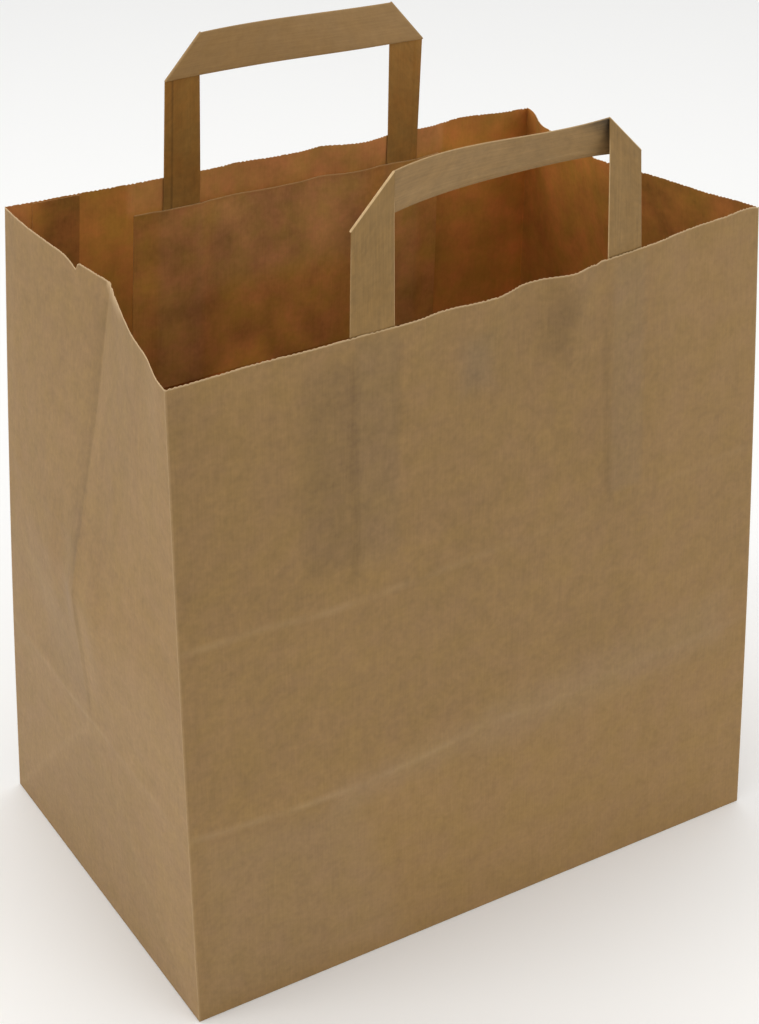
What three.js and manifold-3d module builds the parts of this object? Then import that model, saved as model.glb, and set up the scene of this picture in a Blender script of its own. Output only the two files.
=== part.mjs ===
// Paper carrier bag: a block-bottom kraft bag with gusseted sides and two flat tape handles.
// Millimetres, +Z up. The origin is the middle of the base on the ground, and the front panel faces -Y.
import * as THREE from "three";
import { mergeVertices } from "three/addons/utils/BufferGeometryUtils.js";
import Module from "manifold-3d";

// Paper stock, the gap that a line of glue leaves, and the slope where two plies step down to one
const paperThickness = 0.12;
const tapeThickness = 0.4;
const glueLine = 0.3;
const plyStep = 0.5;

// The bag as its blank is folded
const bagWidth = 260;
const bagDepth = 175;
const bagHeight = 264;
const seamOffset = 11;
const seamLap = 20;
const bottomLap = 30;

// How the open bag stands: its mouth is racked out of square and moved a little off the base
const mouthTurnBroad = 6.4;
const mouthTurnSide = 6.0;
const mouthShiftX = 1.6;
const mouthShiftY = -2.75;
const longDiagonalDrop = 3.4;
const shortDiagonalRise = 2.5;
const edgeBow = 1.2;

// The broad panels' bow at the mouth, outwards, as a half wave and a full wave along the edge
const frontBow = 6.7;
const frontBowSkew = -0.3;
const backBow = -1;
const backBowSkew = 0.35;

// Soft waves in each panel's rim: where they lie and how far they reach, as shares of the panel's width from
// its first fold, and how far they dent inwards or, below nothing, stand out, as shares of the deepest one
const deepestWave = 4.9;
const rimWaves = {
  front: [
    { at: 0.542, reach: 0.065, depth: 0.71 },
    { at: 0.619, reach: 0.046, depth: -0.41 },
    { at: 0.854, reach: 0.085, depth: 0.41 },
  ],
  right: [{ at: 0.806, reach: 0.183, depth: 1 }],
  back: [
    { at: 0.131, reach: 0.069, depth: -0.82 },
    { at: 0.377, reach: 0.062, depth: 0.71 },
    { at: 0.596, reach: 0.065, depth: -0.37 },
  ],
  left: [{ at: 0.851, reach: 0.114, depth: 0.41 }],
};

// A tear in the left gusset's rim, which dips slowly and steps up again, placed in front of the back fold
const tearPlace = 64;
const tearRun = 14;
const tearStep = 1.5;
const tearDepth = 2.7;

// The side gussets' centre crease: pushed in at the mouth, sprung out where the paper buckles
const leftGussetPush = 12.3;
const leftGussetBulge = 9.5;
const leftGussetCurl = 1.5;
const rightGussetPush = 18.5;
const rightGussetBulge = 4;
const rightGussetCurl = 1.15;
const bulgeHeight = 146;

// Creases left by folding the bag flat: the upper one's height, and how far each stands out
const upperCrease = 166;
const bottomCreaseRidge = 0.9;
const upperCreaseRidge = 0.4;
const tuckCreaseRidge = 1.1;

// Tape handles
const tapeWidth = 17;
const handleWidth = 128;
const handleRise = 39;
const legReach = 86;

// Paper patches glued over the handles' legs: below the rim, past the legs, and sloping down beside them
const patchTop = 14;
const patchSideMargin = 13;
const patchLowerMargin = 3;
const patchRamp = 5;

// How finely curved paper is divided, how near two points are one, and how far apart a slope is taken
const wallStep = 17.5;
const tapeStep = 12;
const samePlace = 0.05;
const sameVertex = 1e-4;
const slopeSpan = 1;

// How each handle stands on its panel: its shift from the middle as a share of its width, how far its legs
// sway along the panel and lean outwards as they rise, and how many degrees they turn and their folds open
const handleSets = {
  front: {
    shift: -0.001,
    first: { sway: -0.126, lean: 0.203, turn: -6, foldOpening: 5 },
    second: { sway: -0.244, lean: 0.156, turn: -4.7, foldOpening: 26 },
  },
  back: {
    shift: -0.014,
    first: { sway: 0.01, lean: -0.051, turn: 4.7, foldOpening: 2 },
    second: { sway: 0.018, lean: -0.121, turn: -5.8, foldOpening: 2 },
  },
};

const kraftBrown = 0x91754e;
const tapeBrown = 0x968064;
const patchBrown = 0x7d5426;

const wasm = await Module();
wasm.setup();

const UP = new THREE.Vector3(0, 0, 1);
const ramp = (value, from, to) => THREE.MathUtils.clamp((value - from) / (to - from), 0, 1);
const ridge = (distance, reach) => Math.max(0, 1 - Math.abs(distance) / reach);

/** Places from the lowest knot to the highest, through every knot, in steps no longer than asked. */
function divide(knots, longestStep) {
  const sorted = knots.toSorted((a, b) => a - b);
  const apart = sorted.filter((knot, k) => k + 1 === sorted.length || sorted[k + 1] - knot > samePlace);
  const places = [apart[0]];
  for (let k = 1; k < apart.length; k += 1) {
    const span = apart[k] - apart[k - 1];
    const steps = Math.ceil((span - samePlace) / longestStep);
    for (let s = 1; s <= steps; s += 1) places.push(apart[k - 1] + (span * s) / steps);
  }
  return places;
}

/** A closed BufferGeometry from points and triangles. */
function meshOf(points, triangles) {
  const geometry = new THREE.BufferGeometry().setFromPoints(points);
  geometry.setIndex(triangles.flat());
  return geometry;
}

/** A closed mesh as a solid that can be joined. */
function solidOf(geometry) {
  const bare = geometry.clone();
  bare.deleteAttribute("normal");
  bare.deleteAttribute("uv");
  const merged = mergeVertices(bare, sameVertex);
  const vertProperties = new Float32Array(merged.attributes.position.array);
  const triVerts = new Uint32Array(merged.index.array);
  return new wasm.Manifold(new wasm.Mesh({ numProp: 3, vertProperties, triVerts }));
}

/** Overlapping closed meshes joined to one body. */
function joined(geometries) {
  const body = geometries.map(solidOf).reduce((sum, solid) => sum.add(solid));
  const { vertProperties, triVerts } = body.getMesh();
  const geometry = new THREE.BufferGeometry();
  geometry.setAttribute("position", new THREE.Float32BufferAttribute(vertProperties, 3));
  geometry.setIndex([...triVerts]);
  return geometry;
}

/** A flat outline raised between two heights. */
function prism(outline, low, high) {
  const shape = new THREE.Shape(outline.map(([x, y]) => new THREE.Vector2(x, y)));
  const geometry = new THREE.ExtrudeGeometry(shape, { depth: high - low, bevelEnabled: false });
  return geometry.translate(0, 0, low);
}

/**
 * A strip or sheet of paper with thickness. rows[j][i] are points of its outer face, with i to the right and
 * j upwards as seen from outside, and the paper lies behind that face.
 */
function paperSheet(rows, thickness) {
  const high = rows.length;
  const wide = rows[0].length;
  const across = (j, i) => rows[j][Math.min(i + 1, wide - 1)].clone().sub(rows[j][Math.max(i - 1, 0)]);
  const along = (j, i) => rows[Math.min(j + 1, high - 1)][i].clone().sub(rows[Math.max(j - 1, 0)][i]);
  const points = [];
  for (let j = 0; j < high; j += 1) points.push(...rows[j]);
  for (let j = 0; j < high; j += 1) {
    for (let i = 0; i < wide; i += 1) {
      const inward = along(j, i).cross(across(j, i)).normalize();
      points.push(rows[j][i].clone().addScaledVector(inward, thickness));
    }
  }
  const behind = high * wide;
  const triangles = [];
  const quad = (a, b, c, d) => triangles.push([a, b, c], [a, c, d]);
  for (let j = 0; j + 1 < high; j += 1) {
    for (let i = 0; i + 1 < wide; i += 1) {
      const [a, b, c, d] = [j * wide + i, j * wide + i + 1, (j + 1) * wide + i + 1, (j + 1) * wide + i];
      quad(a, b, c, d);
      triangles.push([behind + a, behind + c, behind + b], [behind + a, behind + d, behind + c]);
    }
  }
  const border = [];
  for (let i = 0; i + 1 < wide; i += 1) border.push(i);
  for (let j = 0; j + 1 < high; j += 1) border.push(j * wide + wide - 1);
  for (let i = wide - 1; i > 0; i -= 1) border.push((high - 1) * wide + i);
  for (let j = high - 1; j > 0; j -= 1) border.push(j * wide);
  border.forEach((a, k) => {
    const b = border[(k + 1) % border.length];
    quad(b, a, behind + a, behind + b);
  });
  return meshOf(points, triangles);
}

// The four upright folds, by the side of the bag's middle that each lies on
const cornerSides = {
  frontLeft: new THREE.Vector2(-1, -1),
  frontRight: new THREE.Vector2(1, -1),
  backRight: new THREE.Vector2(1, 1),
  backLeft: new THREE.Vector2(-1, 1),
};

/** A corner of the mouth: of a racked parallelogram, shortened by the gussets' push and the front's bow. */
function mouthCorner(side) {
  const broad = THREE.MathUtils.degToRad(mouthTurnBroad);
  const gusset = THREE.MathUtils.degToRad(mouthTurnSide);
  const meanPush = (leftGussetPush + rightGussetPush) / 2;
  const sideChord = Math.sqrt(bagDepth ** 2 - (2 * meanPush) ** 2);
  const broadChord = bagWidth - ((Math.PI * frontBow) / 2) ** 2 / bagWidth;
  const halfBroad = new THREE.Vector2(Math.cos(broad), Math.sin(broad)).multiplyScalar(broadChord / 2);
  const halfSide = new THREE.Vector2(Math.sin(gusset), Math.cos(gusset)).multiplyScalar(sideChord / 2);
  const height = bagHeight + (side.x === side.y ? -longDiagonalDrop : shortDiagonalRise);
  const x = mouthShiftX + side.x * halfBroad.x + side.y * halfSide.x;
  const y = mouthShiftY + side.x * halfBroad.y + side.y * halfSide.y;
  return new THREE.Vector3(x, y, height);
}

// Heights on the paper, and places along a broad panel from its first fold
const floorLow = 2 * paperThickness;
const floorHigh = floorLow + paperThickness;
const bottomCrease = bagDepth / 2;
const patchLow = bagHeight - legReach - patchLowerMargin;
const patchHigh = bagHeight - patchTop;
const seamStart = bagWidth - seamOffset - seamLap;
const seamEnd = bagWidth - seamOffset;
const wallHeights = divide(
  [floorLow, bottomCrease, bulgeHeight, upperCrease, patchLow, patchHigh, bagHeight],
  wallStep,
);

/** A vertical fold of the bag at a height on the paper. */
function cornerPoint(side, height) {
  const share = height / bagHeight;
  const mouth = mouthCorner(side);
  const base = new THREE.Vector3((side.x * bagWidth) / 2, (side.y * bagDepth) / 2, 0);
  const bow = edgeBow * Math.sin(Math.PI * share) * Math.SQRT1_2;
  const stretch = (mouth.z - bagHeight) * ramp(height, upperCrease, bagHeight);
  const point = base.lerp(mouth, share).setZ(height + stretch);
  return point.add(new THREE.Vector3(side.x * bow, side.y * bow, 0));
}

/** Ridges that the flat folding leaves across a broad panel, dying out at its edges. */
function creaseOffset(place, width, height) {
  const inside = ramp(Math.min(place, width - place), 0, wallStep);
  const low = bottomCreaseRidge * ridge(height - bottomCrease, wallStep);
  const high = upperCreaseRidge * ridge(height - upperCrease, wallStep);
  return inside * (low + high);
}

/** Outward offset of the waves in a rim, dying out down to the upper crease. */
function waveOffset(waves, share, height) {
  const deepest = deepestWave * ramp(height, upperCrease, bagHeight);
  return waves.reduce((sum, { at, reach, depth }) => sum - depth * deepest * ridge(share - at, reach), 0);
}

/** The places along a panel where the waves in its rim start, turn and end. */
function waveBends(waves, width) {
  return waves.flatMap(({ at, reach }) => [at - reach, at, at + reach].map((share) => share * width));
}

/** How far the torn rim of the left gusset lies below the whole one. */
function tearDrop(place) {
  const falling = ramp(place, tearPlace - tearRun, tearPlace);
  const stepping = ramp(place, tearPlace + tearStep, tearPlace);
  return tearDepth * Math.min(falling, stepping);
}

/** Outward offset of a broad panel: its bow, growing from the bottom crease to the mouth, and its creases. */
function broadOffset(bow, skew, place, height) {
  const turn = (Math.PI * place) / bagWidth;
  const growth = ramp(height, bottomCrease, bagHeight);
  return growth * (bow * Math.sin(turn) + skew * Math.sin(2 * turn)) + creaseOffset(place, bagWidth, height);
}

/** Outward offset of a gusset: the centre crease's bend, and the diagonal creases of the tucked bottom. */
function gussetOffset(push, bulge, curl, place, height) {
  const fromEdge = Math.min(place, bagDepth - place);
  const sharp = ((2 * fromEdge) / bagDepth) ** curl;
  const outward = bulge * ramp(height, bottomCrease, bulgeHeight);
  const inward = (push + bulge) * ramp(height, bulgeHeight, bagHeight);
  const tuck = tuckCreaseRidge * ridge(height - fromEdge, wallStep) * ramp(height, 0, bottomCrease);
  const folded = height <= bottomCrease ? tuck : 0;
  return sharp * (outward - inward) + folded;
}

// Each panel's folds at its two ends, its bends between them, its rim's waves, whether its foot is tucked,
// and its form
const panels = {
  front: {
    folds: [cornerSides.frontLeft, cornerSides.frontRight],
    width: bagWidth,
    bends: waveBends(rimWaves.front, bagWidth),
    waves: rimWaves.front,
    tucked: false,
    form: (place, height) => broadOffset(frontBow, frontBowSkew, place, height),
  },
  right: {
    folds: [cornerSides.frontRight, cornerSides.backRight],
    width: bagDepth,
    bends: [bagDepth / 2, ...waveBends(rimWaves.right, bagDepth)],
    waves: rimWaves.right,
    tucked: true,
    form: (place, height) =>
      gussetOffset(rightGussetPush, rightGussetBulge, rightGussetCurl, place, height),
  },
  back: {
    folds: [cornerSides.backRight, cornerSides.backLeft],
    width: bagWidth,
    bends: [
      ...[seamStart - plyStep, seamStart, seamEnd, seamEnd + plyStep],
      ...waveBends(rimWaves.back, bagWidth),
    ],
    waves: rimWaves.back,
    tucked: false,
    form: (place, height) => broadOffset(backBow, backBowSkew, place, height),
  },
  left: {
    folds: [cornerSides.backLeft, cornerSides.frontLeft],
    width: bagDepth,
    bends: [
      bagDepth / 2,
      ...[tearPlace - tearRun, tearPlace, tearPlace + tearStep],
      ...waveBends(rimWaves.left, bagDepth),
    ],
    waves: rimWaves.left,
    tucked: true,
    form: (place, height) =>
      gussetOffset(leftGussetPush, leftGussetBulge, leftGussetCurl, place, height),
  },
};

/** A point of a panel's outer face, place along it from its first fold and at a height on the paper. */
function wallPoint(panel, place, height) {
  const [first, second] = panel.folds.map((side) => cornerPoint(side, height));
  const outward = second.clone().sub(first).cross(UP).normalize();
  const share = place / panel.width;
  const offset = panel.form(place, height) + waveOffset(panel.waves, share, height);
  return first.lerp(second, share).addScaledVector(outward, offset);
}

/** A point a distance inside a panel's outer face. */
function insidePoint(panel, place, height, depth) {
  const point = wallPoint(panel, place, height);
  const across = wallPoint(panel, place + slopeSpan, height).sub(wallPoint(panel, place - slopeSpan, height));
  const upward = point.clone().sub(wallPoint(panel, place, height - slopeSpan));
  return point.addScaledVector(upward.cross(across).normalize(), depth);
}

/** The places along a panel where its face is bent or divided. */
function wallPlaces(panel) {
  return divide([0, ...panel.bends, panel.width], wallStep);
}

/** How many plies of paper lie over each other at a place along a panel. */
function pliesAt(panel, place) {
  const inSeam = panel === panels.back && place >= seamStart && place <= seamEnd;
  return inSeam ? 2 : 1;
}

/** The walls and the floor as one folded shell, with its long seam lapped inside the back panel. */
function wallShell() {
  const columns = Object.values(panels).flatMap((panel) =>
    wallPlaces(panel).slice(0, -1).map((place) => ({ panel, place })));
  const count = columns.length;
  const outer = wallHeights.map((height, j) => columns.map(({ panel, place }) => {
    const isTorn = panel === panels.left && j + 1 === wallHeights.length;
    return wallPoint(panel, place, isTorn ? height - tearDrop(place) : height);
  }));
  const inner = outer.map((row, j) => row.map((point, i) => {
    const upward = outer[Math.min(j + 1, outer.length - 1)][i].clone().sub(outer[Math.max(j - 1, 0)][i]);
    const before = point.clone().sub(row[(i + count - 1) % count]).cross(upward).normalize();
    const after = row[(i + 1) % count].clone().sub(point).cross(upward).normalize();
    const mitre = before.clone().add(after).divideScalar(1 + before.dot(after));
    const { panel, place } = columns[i];
    return point.clone().addScaledVector(mitre, -pliesAt(panel, place) * paperThickness);
  }));
  inner[0].forEach((point) => point.setZ(floorHigh));

  const floorMiddles = [floorLow, floorHigh].map((height) => new THREE.Vector3(0, 0, height));
  const points = [...outer.flat(), ...inner.flat(), ...floorMiddles];
  const behind = wallHeights.length * count;
  const triangles = [];
  for (let i = 0; i < count; i += 1) {
    const n = (i + 1) % count;
    const { panel, place } = columns[i];
    const creaseFalls = panel.tucked && place > panel.width / 2 - samePlace;
    for (let j = 0; j + 1 < wallHeights.length; j += 1) {
      const [a, b, c, d] = [j * count + i, j * count + n, (j + 1) * count + n, (j + 1) * count + i];
      const pair = creaseFalls ? [[a, b, d], [b, c, d]] : [[a, b, c], [a, c, d]];
      triangles.push(...pair, ...pair.map(([x, y, z]) => [behind + x, behind + z, behind + y]));
    }
    const rim = (wallHeights.length - 1) * count;
    triangles.push([rim + i, rim + n, behind + rim + n], [rim + i, behind + rim + n, behind + rim + i]);
    triangles.push([2 * behind, n, i], [2 * behind + 1, behind + i, behind + n]);
  }
  return meshOf(points, triangles);
}

/** The glued bottom: two side tucks inside, and the back and front flaps folded over them below. */
function bottomFlaps() {
  const foldRadius = 2 * paperThickness;
  const bond = paperThickness / 2;
  const halfWidth = bagWidth / 2 - foldRadius;
  const halfDepth = bagDepth / 2 - foldRadius;
  const reach = (bagDepth + bottomLap) / 2 - foldRadius;
  const flap = (side) => [
    [-side * halfWidth, side * halfDepth],
    [side * halfWidth, side * halfDepth],
    [side * (halfWidth - reach), side * (halfDepth - reach)],
    [-side * (halfWidth - reach), side * (halfDepth - reach)],
  ];
  const tuck = (side) => [
    [side * halfWidth, -halfDepth],
    [side * halfWidth, halfDepth],
    [side * (halfWidth - reach), halfDepth],
    [side * (halfWidth - reach), -halfDepth],
  ];
  const tucks = [-1, 1].map((side) => prism(tuck(side), floorHigh - bond, floorHigh + paperThickness));
  return [...tucks, prism(flap(1), paperThickness, floorLow + bond), prism(flap(-1), 0, floorLow + bond)];
}

/** The places along its panel where a handle's two legs start. */
function legStarts(set) {
  const centre = bagWidth / 2 + set.shift * handleWidth;
  return [centre - handleWidth / 2, centre + handleWidth / 2 - tapeWidth];
}

/** One leg of a handle: glued inside its panel, then standing free above the mouth up to its mitred fold. */
function tapeLeg(panel, start, leg, isFirst) {
  const edges = [start, start + tapeWidth];
  const depth = paperThickness + glueLine;
  const rows = divide([bagHeight - legReach, bagHeight], tapeStep).map((height) =>
    edges.map((place) => insidePoint(panel, place, height, depth)));
  const [rimStart, rimEnd] = rows.at(-1);
  const along = rimEnd.clone().sub(rimStart).normalize();
  const outward = along.clone().cross(UP).normalize();
  const middle = rimStart.clone().lerp(rimEnd, 0.5);
  const { sway, lean } = leg;
  const climb = Math.sqrt(1 - sway ** 2 - lean ** 2);
  const rise = along.clone().multiplyScalar(sway).addScaledVector(outward, lean).addScaledVector(UP, climb);
  const edgeAt = (height, side) => {
    const turn = THREE.MathUtils.degToRad(leg.turn) * Math.min(1, height / handleRise);
    const facing = along.clone().multiplyScalar(Math.cos(turn)).addScaledVector(outward, Math.sin(turn));
    return middle.clone().addScaledVector(rise, height).addScaledVector(facing, (side * tapeWidth) / 2);
  };
  const outerTop = handleRise;
  const innerTop = handleRise + tapeWidth;
  const tops = isFirst ? [outerTop, innerTop] : [innerTop, outerTop];
  for (const height of divide([0, handleRise], tapeStep).slice(1)) {
    const share = height / handleRise;
    rows.push([edgeAt(share * tops[0], -1), edgeAt(share * tops[1], 1)]);
  }
  const facing = edgeAt(handleRise, 1).sub(edgeAt(handleRise, -1)).normalize();
  const normal = facing.clone().cross(rise).normalize();
  return { rows, facing, rise: normal.clone().cross(facing), normal };
}

/** Where the crossbar leaves a leg's mitred fold, and which way it runs. */
function foldedEnd(leg, isFirst, foldOpening) {
  const [start, end] = leg.rows.at(-1);
  const side = isFirst ? 1 : -1;
  const opening = THREE.MathUtils.degToRad(foldOpening);
  const foldLine = leg.facing.clone().multiplyScalar(side).add(leg.rise).multiplyScalar(Math.SQRT1_2);
  const inFold = leg.facing.clone().multiplyScalar(side).sub(leg.rise).multiplyScalar(Math.SQRT1_2);
  const opened = inFold.multiplyScalar(Math.cos(opening)).addScaledVector(leg.normal, -Math.sin(opening));
  const sunk = (point) => point.clone().addScaledVector(leg.normal, -tapeThickness / 2);
  return {
    low: sunk(isFirst ? start : end),
    high: sunk(isFirst ? end : start),
    run: foldLine.add(opened).multiplyScalar(Math.SQRT1_2),
  };
}

/** A handle: two legs and a crossbar of one tape, folded over at forty-five degrees in both corners. */
function tapeHandle(panel, set) {
  const [firstStart, secondStart] = legStarts(set);
  const legs = [tapeLeg(panel, firstStart, set.first, true), tapeLeg(panel, secondStart, set.second, false)];
  const from = foldedEnd(legs[0], true, set.first.foldOpening);
  const to = foldedEnd(legs[1], false, set.second.foldOpening);
  const edge = (start, end) => {
    const third = start.distanceTo(end) / 3;
    const leave = start.clone().addScaledVector(from.run, third);
    const arrive = end.clone().addScaledVector(to.run, third);
    return new THREE.CubicBezierCurve3(start, leave, arrive, end);
  };
  const stations = Math.round(handleWidth / (tapeStep / 2));
  const bar = [edge(from.low, to.low), edge(from.high, to.high)].map((curve) => curve.getPoints(stations));
  return joined([...legs.map((leg) => paperSheet(leg.rows, tapeThickness)), paperSheet(bar, tapeThickness)]);
}

/** A reinforcing patch: flat on the panel, and lifted over the handle's two legs. */
function legPatch(panel, set) {
  const starts = legStarts(set);
  const slopes = starts.flatMap((start) => [
    start - patchRamp,
    start - glueLine,
    start + tapeWidth + glueLine,
    start + tapeWidth + patchRamp,
  ]);
  const ends = [starts[0] - patchSideMargin, starts[1] + tapeWidth + patchSideMargin];
  const bends = wallPlaces(panel).filter((place) => place > ends[0] && place < ends[1]);
  const places = divide([...ends, ...slopes, ...bends], wallStep);
  const overLeg = (place) => Math.max(...starts.map((start) => {
    const beyond = Math.max(start - place, place - start - tapeWidth);
    return 1 - ramp(beyond, glueLine, patchRamp);
  }));
  const between = wallHeights.filter((height) => height > patchLow && height < patchHigh);
  const heights = divide([patchLow, ...between, patchHigh], wallStep);
  const rows = heights.map((height) => places.map((place) => {
    const lift = paperThickness + glueLine + overLeg(place) * (tapeThickness + glueLine);
    return insidePoint(panel, place, height, lift);
  }));
  return paperSheet(rows, paperThickness);
}

/** A named piece of paper with its colour. */
function piece(name, geometry, color) {
  const material = new THREE.MeshStandardMaterial({ color, roughness: 0.9, metalness: 0 });
  const mesh = new THREE.Mesh(geometry, material);
  mesh.name = name;
  return mesh;
}

const bag = new THREE.Group();
bag.add(piece("bag_body", joined([wallShell(), ...bottomFlaps()]), kraftBrown));
for (const side of ["front", "back"]) {
  bag.add(piece(`${side}_handle`, tapeHandle(panels[side], handleSets[side]), tapeBrown));
  bag.add(piece(`${side}_patch`, legPatch(panels[side], handleSets[side]), patchBrown));
}

export default bag;
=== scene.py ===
"""Dresses a brown kraft paper carrier bag: creased walls with a cut rim, tape handles and glued patches."""
import logging
import math
from dataclasses import dataclass, field, replace
from enum import Enum
from typing import Any

import bmesh
import bpy
import numpy as np
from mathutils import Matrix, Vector, noise


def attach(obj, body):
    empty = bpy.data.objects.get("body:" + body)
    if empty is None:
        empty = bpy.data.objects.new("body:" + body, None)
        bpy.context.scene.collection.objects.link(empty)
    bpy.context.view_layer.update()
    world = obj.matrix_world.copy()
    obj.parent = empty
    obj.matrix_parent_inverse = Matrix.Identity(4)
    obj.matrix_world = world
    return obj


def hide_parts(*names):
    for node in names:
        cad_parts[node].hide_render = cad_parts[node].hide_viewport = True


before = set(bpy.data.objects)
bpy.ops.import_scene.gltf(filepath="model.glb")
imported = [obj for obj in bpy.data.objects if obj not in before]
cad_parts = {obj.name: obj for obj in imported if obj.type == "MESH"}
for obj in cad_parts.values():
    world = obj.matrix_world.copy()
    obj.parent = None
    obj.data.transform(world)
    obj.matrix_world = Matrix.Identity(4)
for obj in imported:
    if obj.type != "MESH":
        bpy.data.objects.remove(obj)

LOG = logging.getLogger("paper_bag")
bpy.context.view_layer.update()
BODY = "root"

# Sizes below are in millimetres, and meshes are in metres
MM = 0.001
BLANK_MAP = "blank"
UP = np.array((0.0, 0.0, 1.0))

# How far a step of one at forty-five degrees goes each way
DIAGONAL = math.sqrt(0.5)

# The value that noise textures lie about
NOISE_MEAN = 0.5

# The bag as its blank is folded
WIDTH = 260.0
DEPTH = 175.0
HEIGHT = 264.0
GIRTH = 2 * (WIDTH + DEPTH)
LOW_CREASE = DEPTH / 2
HIGH_CREASE = 166.0

# Each corner's side of the middle, from the front left one round past the front right one
CORNER_SIDES = ((-1, -1), (1, -1), (1, 1), (-1, 1))

Socket = bpy.types.NodeSocket

# A Mix node's colour sockets, whose names its other kinds share
MIX_FIRST = 6
MIX_SECOND = 7
MIX_RESULT = 2


def linear(hex_colour: str) -> tuple[float, float, float, float]:
    """Turns an sRGB hex colour to linear light.

    Args:
        hex_colour: A # and six hex digits.

    Returns:
        Red, green, blue and a full alpha.
    """
    parts = [int(hex_colour[i : i + 2], 16) / 255 for i in (1, 3, 5)]
    # The numbers are those of the sRGB standard's curve
    red, green, blue = (c / 12.92 if c <= 0.04045 else ((c + 0.055) / 1.055) ** 2.4 for c in parts)
    return red, green, blue, 1.0


def add_node(
    tree: bpy.types.NodeTree, kind: str, inputs: dict | None = None, **settings: Any
) -> bpy.types.Node:
    """Adds a node to a tree with its settings, values and links.

    Args:
        tree: The material's or geometry's node tree.
        kind: The node's type name.
        inputs: A value, or a socket to link from, for each input by its name or number.
        **settings: The node's own properties.

    Returns:
        The new node.
    """
    node = tree.nodes.new(kind)
    for name, value in settings.items():
        setattr(node, name, value)
    for key, value in (inputs or {}).items():
        if isinstance(value, Socket):
            tree.links.new(value, node.inputs[key])
        else:
            node.inputs[key].default_value = value
    return node


def ramp(value: np.ndarray, start: float, end: float) -> np.ndarray:
    """Rises evenly from nothing at start to one at end."""
    return np.clip((value - start) / (end - start), 0.0, 1.0)


def swell(value: np.ndarray, start: float, end: float) -> np.ndarray:
    """Rises softly from nothing at start to one at end."""
    share = ramp(value, start, end)
    return share * share * (3.0 - 2.0 * share)


def bell(distance: np.ndarray, reach: float) -> np.ndarray:
    """A soft bump of one at no distance and nothing from reach on."""
    return 0.5 + 0.5 * np.cos(np.pi * np.clip(np.abs(distance) / reach, 0.0, 1.0))


def ridge(distance: np.ndarray, reach: float) -> np.ndarray:
    """A sharp ridge of one at no distance and nothing from reach on."""
    return np.maximum(0.0, 1.0 - np.abs(distance) / reach)


def divide(knots: list[float], step: float) -> np.ndarray:
    """Places through every knot, in even steps of about the length asked.

    Args:
        knots: Places that have to be met, rising.
        step: The length that steps come close to.

    Returns:
        The places, rising.
    """
    places = [knots[0]]
    for start, end in zip(knots, knots[1:]):
        count = max(1, round((end - start) / step))
        places.extend(start + (end - start) * (i + 1) / count for i in range(count))
    return np.array(places)


def unit(vectors: np.ndarray) -> np.ndarray:
    """Vectors of the same directions with a length of one."""
    return vectors / np.linalg.norm(vectors, axis=-1, keepdims=True)


def paper_noise(u: np.ndarray, v: np.ndarray, size: float, seed: float) -> np.ndarray:
    """Smooth noise on the flat paper.

    Args:
        u: Places round the bag in millimetres.
        v: Heights in millimetres.
        size: The width of its features in millimetres.
        seed: A number that picks one pattern.

    Returns:
        Values from about minus one to one.
    """
    flat = np.stack([u.ravel() / size, v.ravel() / size], axis=-1)
    values = [noise.noise((float(a), float(b), seed)) for a, b in flat]
    return np.array(values).reshape(u.shape)


class Panel(Enum):
    """The four walls, in the order that the paper runs round the bag."""

    FRONT = 0
    RIGHT = 1
    BACK = 2
    LEFT = 3

    @property
    def is_broad(self) -> bool:
        """Whether the wall is a broad one, and not a gusset."""
        return self in (Panel.FRONT, Panel.BACK)

    @property
    def width(self) -> float:
        """How wide the wall is between its folds."""
        return WIDTH if self.is_broad else DEPTH

    @property
    def girth(self) -> float:
        """Where the wall starts on the flat blank."""
        return sum(other.width for other in Panel if other.value < self.value)


class Side(Enum):
    """The two faces of the paper, which carry marks of their own."""

    OUTER = "outer"
    INNER = "inner"


class Trace(Enum):
    """What marks the paper's colour: lighter or darker, from use and from painted light and shade, greyer,
    and worn to pale fibres.
    """

    TONE = "tone"
    GREY = "grey"
    WORN = "worn"

    def on(self, side: Side) -> str:
        """The name of the layer that holds the trace on one face of the paper."""
        return f"{side.value}_{self.value}"


def paint(mesh: bpy.types.Mesh, side: Side, trace: Trace, amounts: np.ndarray) -> None:
    """Writes one of the paper's traces on a mesh's points.

    Args:
        mesh: The mesh.
        side: The face of the paper that bears it.
        trace: What it does to the colour.
        amounts: How much, for each point.
    """
    layer = mesh.attributes.new(trace.on(side), "FLOAT", "POINT")
    layer.data.foreach_set("value", np.ravel(amounts).astype(np.float32))


def stain_and_painted_light(mesh: bpy.types.Mesh, side: Side, tone: np.ndarray, grey: np.ndarray) -> None:
    """Writes a tone and a greyness for each of a mesh's points: stains, and painted light and shade."""
    paint(mesh, side, Trace.TONE, tone)
    paint(mesh, side, Trace.GREY, grey)


@dataclass(frozen=True)
class Dent:
    """A soft hollow in a wall, or a bulge if its depth is below nothing."""

    panel: Panel
    place: float
    height: float
    along: float
    up: float
    depth: float

    def offset(self, place: np.ndarray, height: np.ndarray) -> np.ndarray:
        """How far the wall moves outwards at places along it."""
        return -self.depth * bell(place - self.place, self.along) * bell(height - self.height, self.up)


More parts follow.
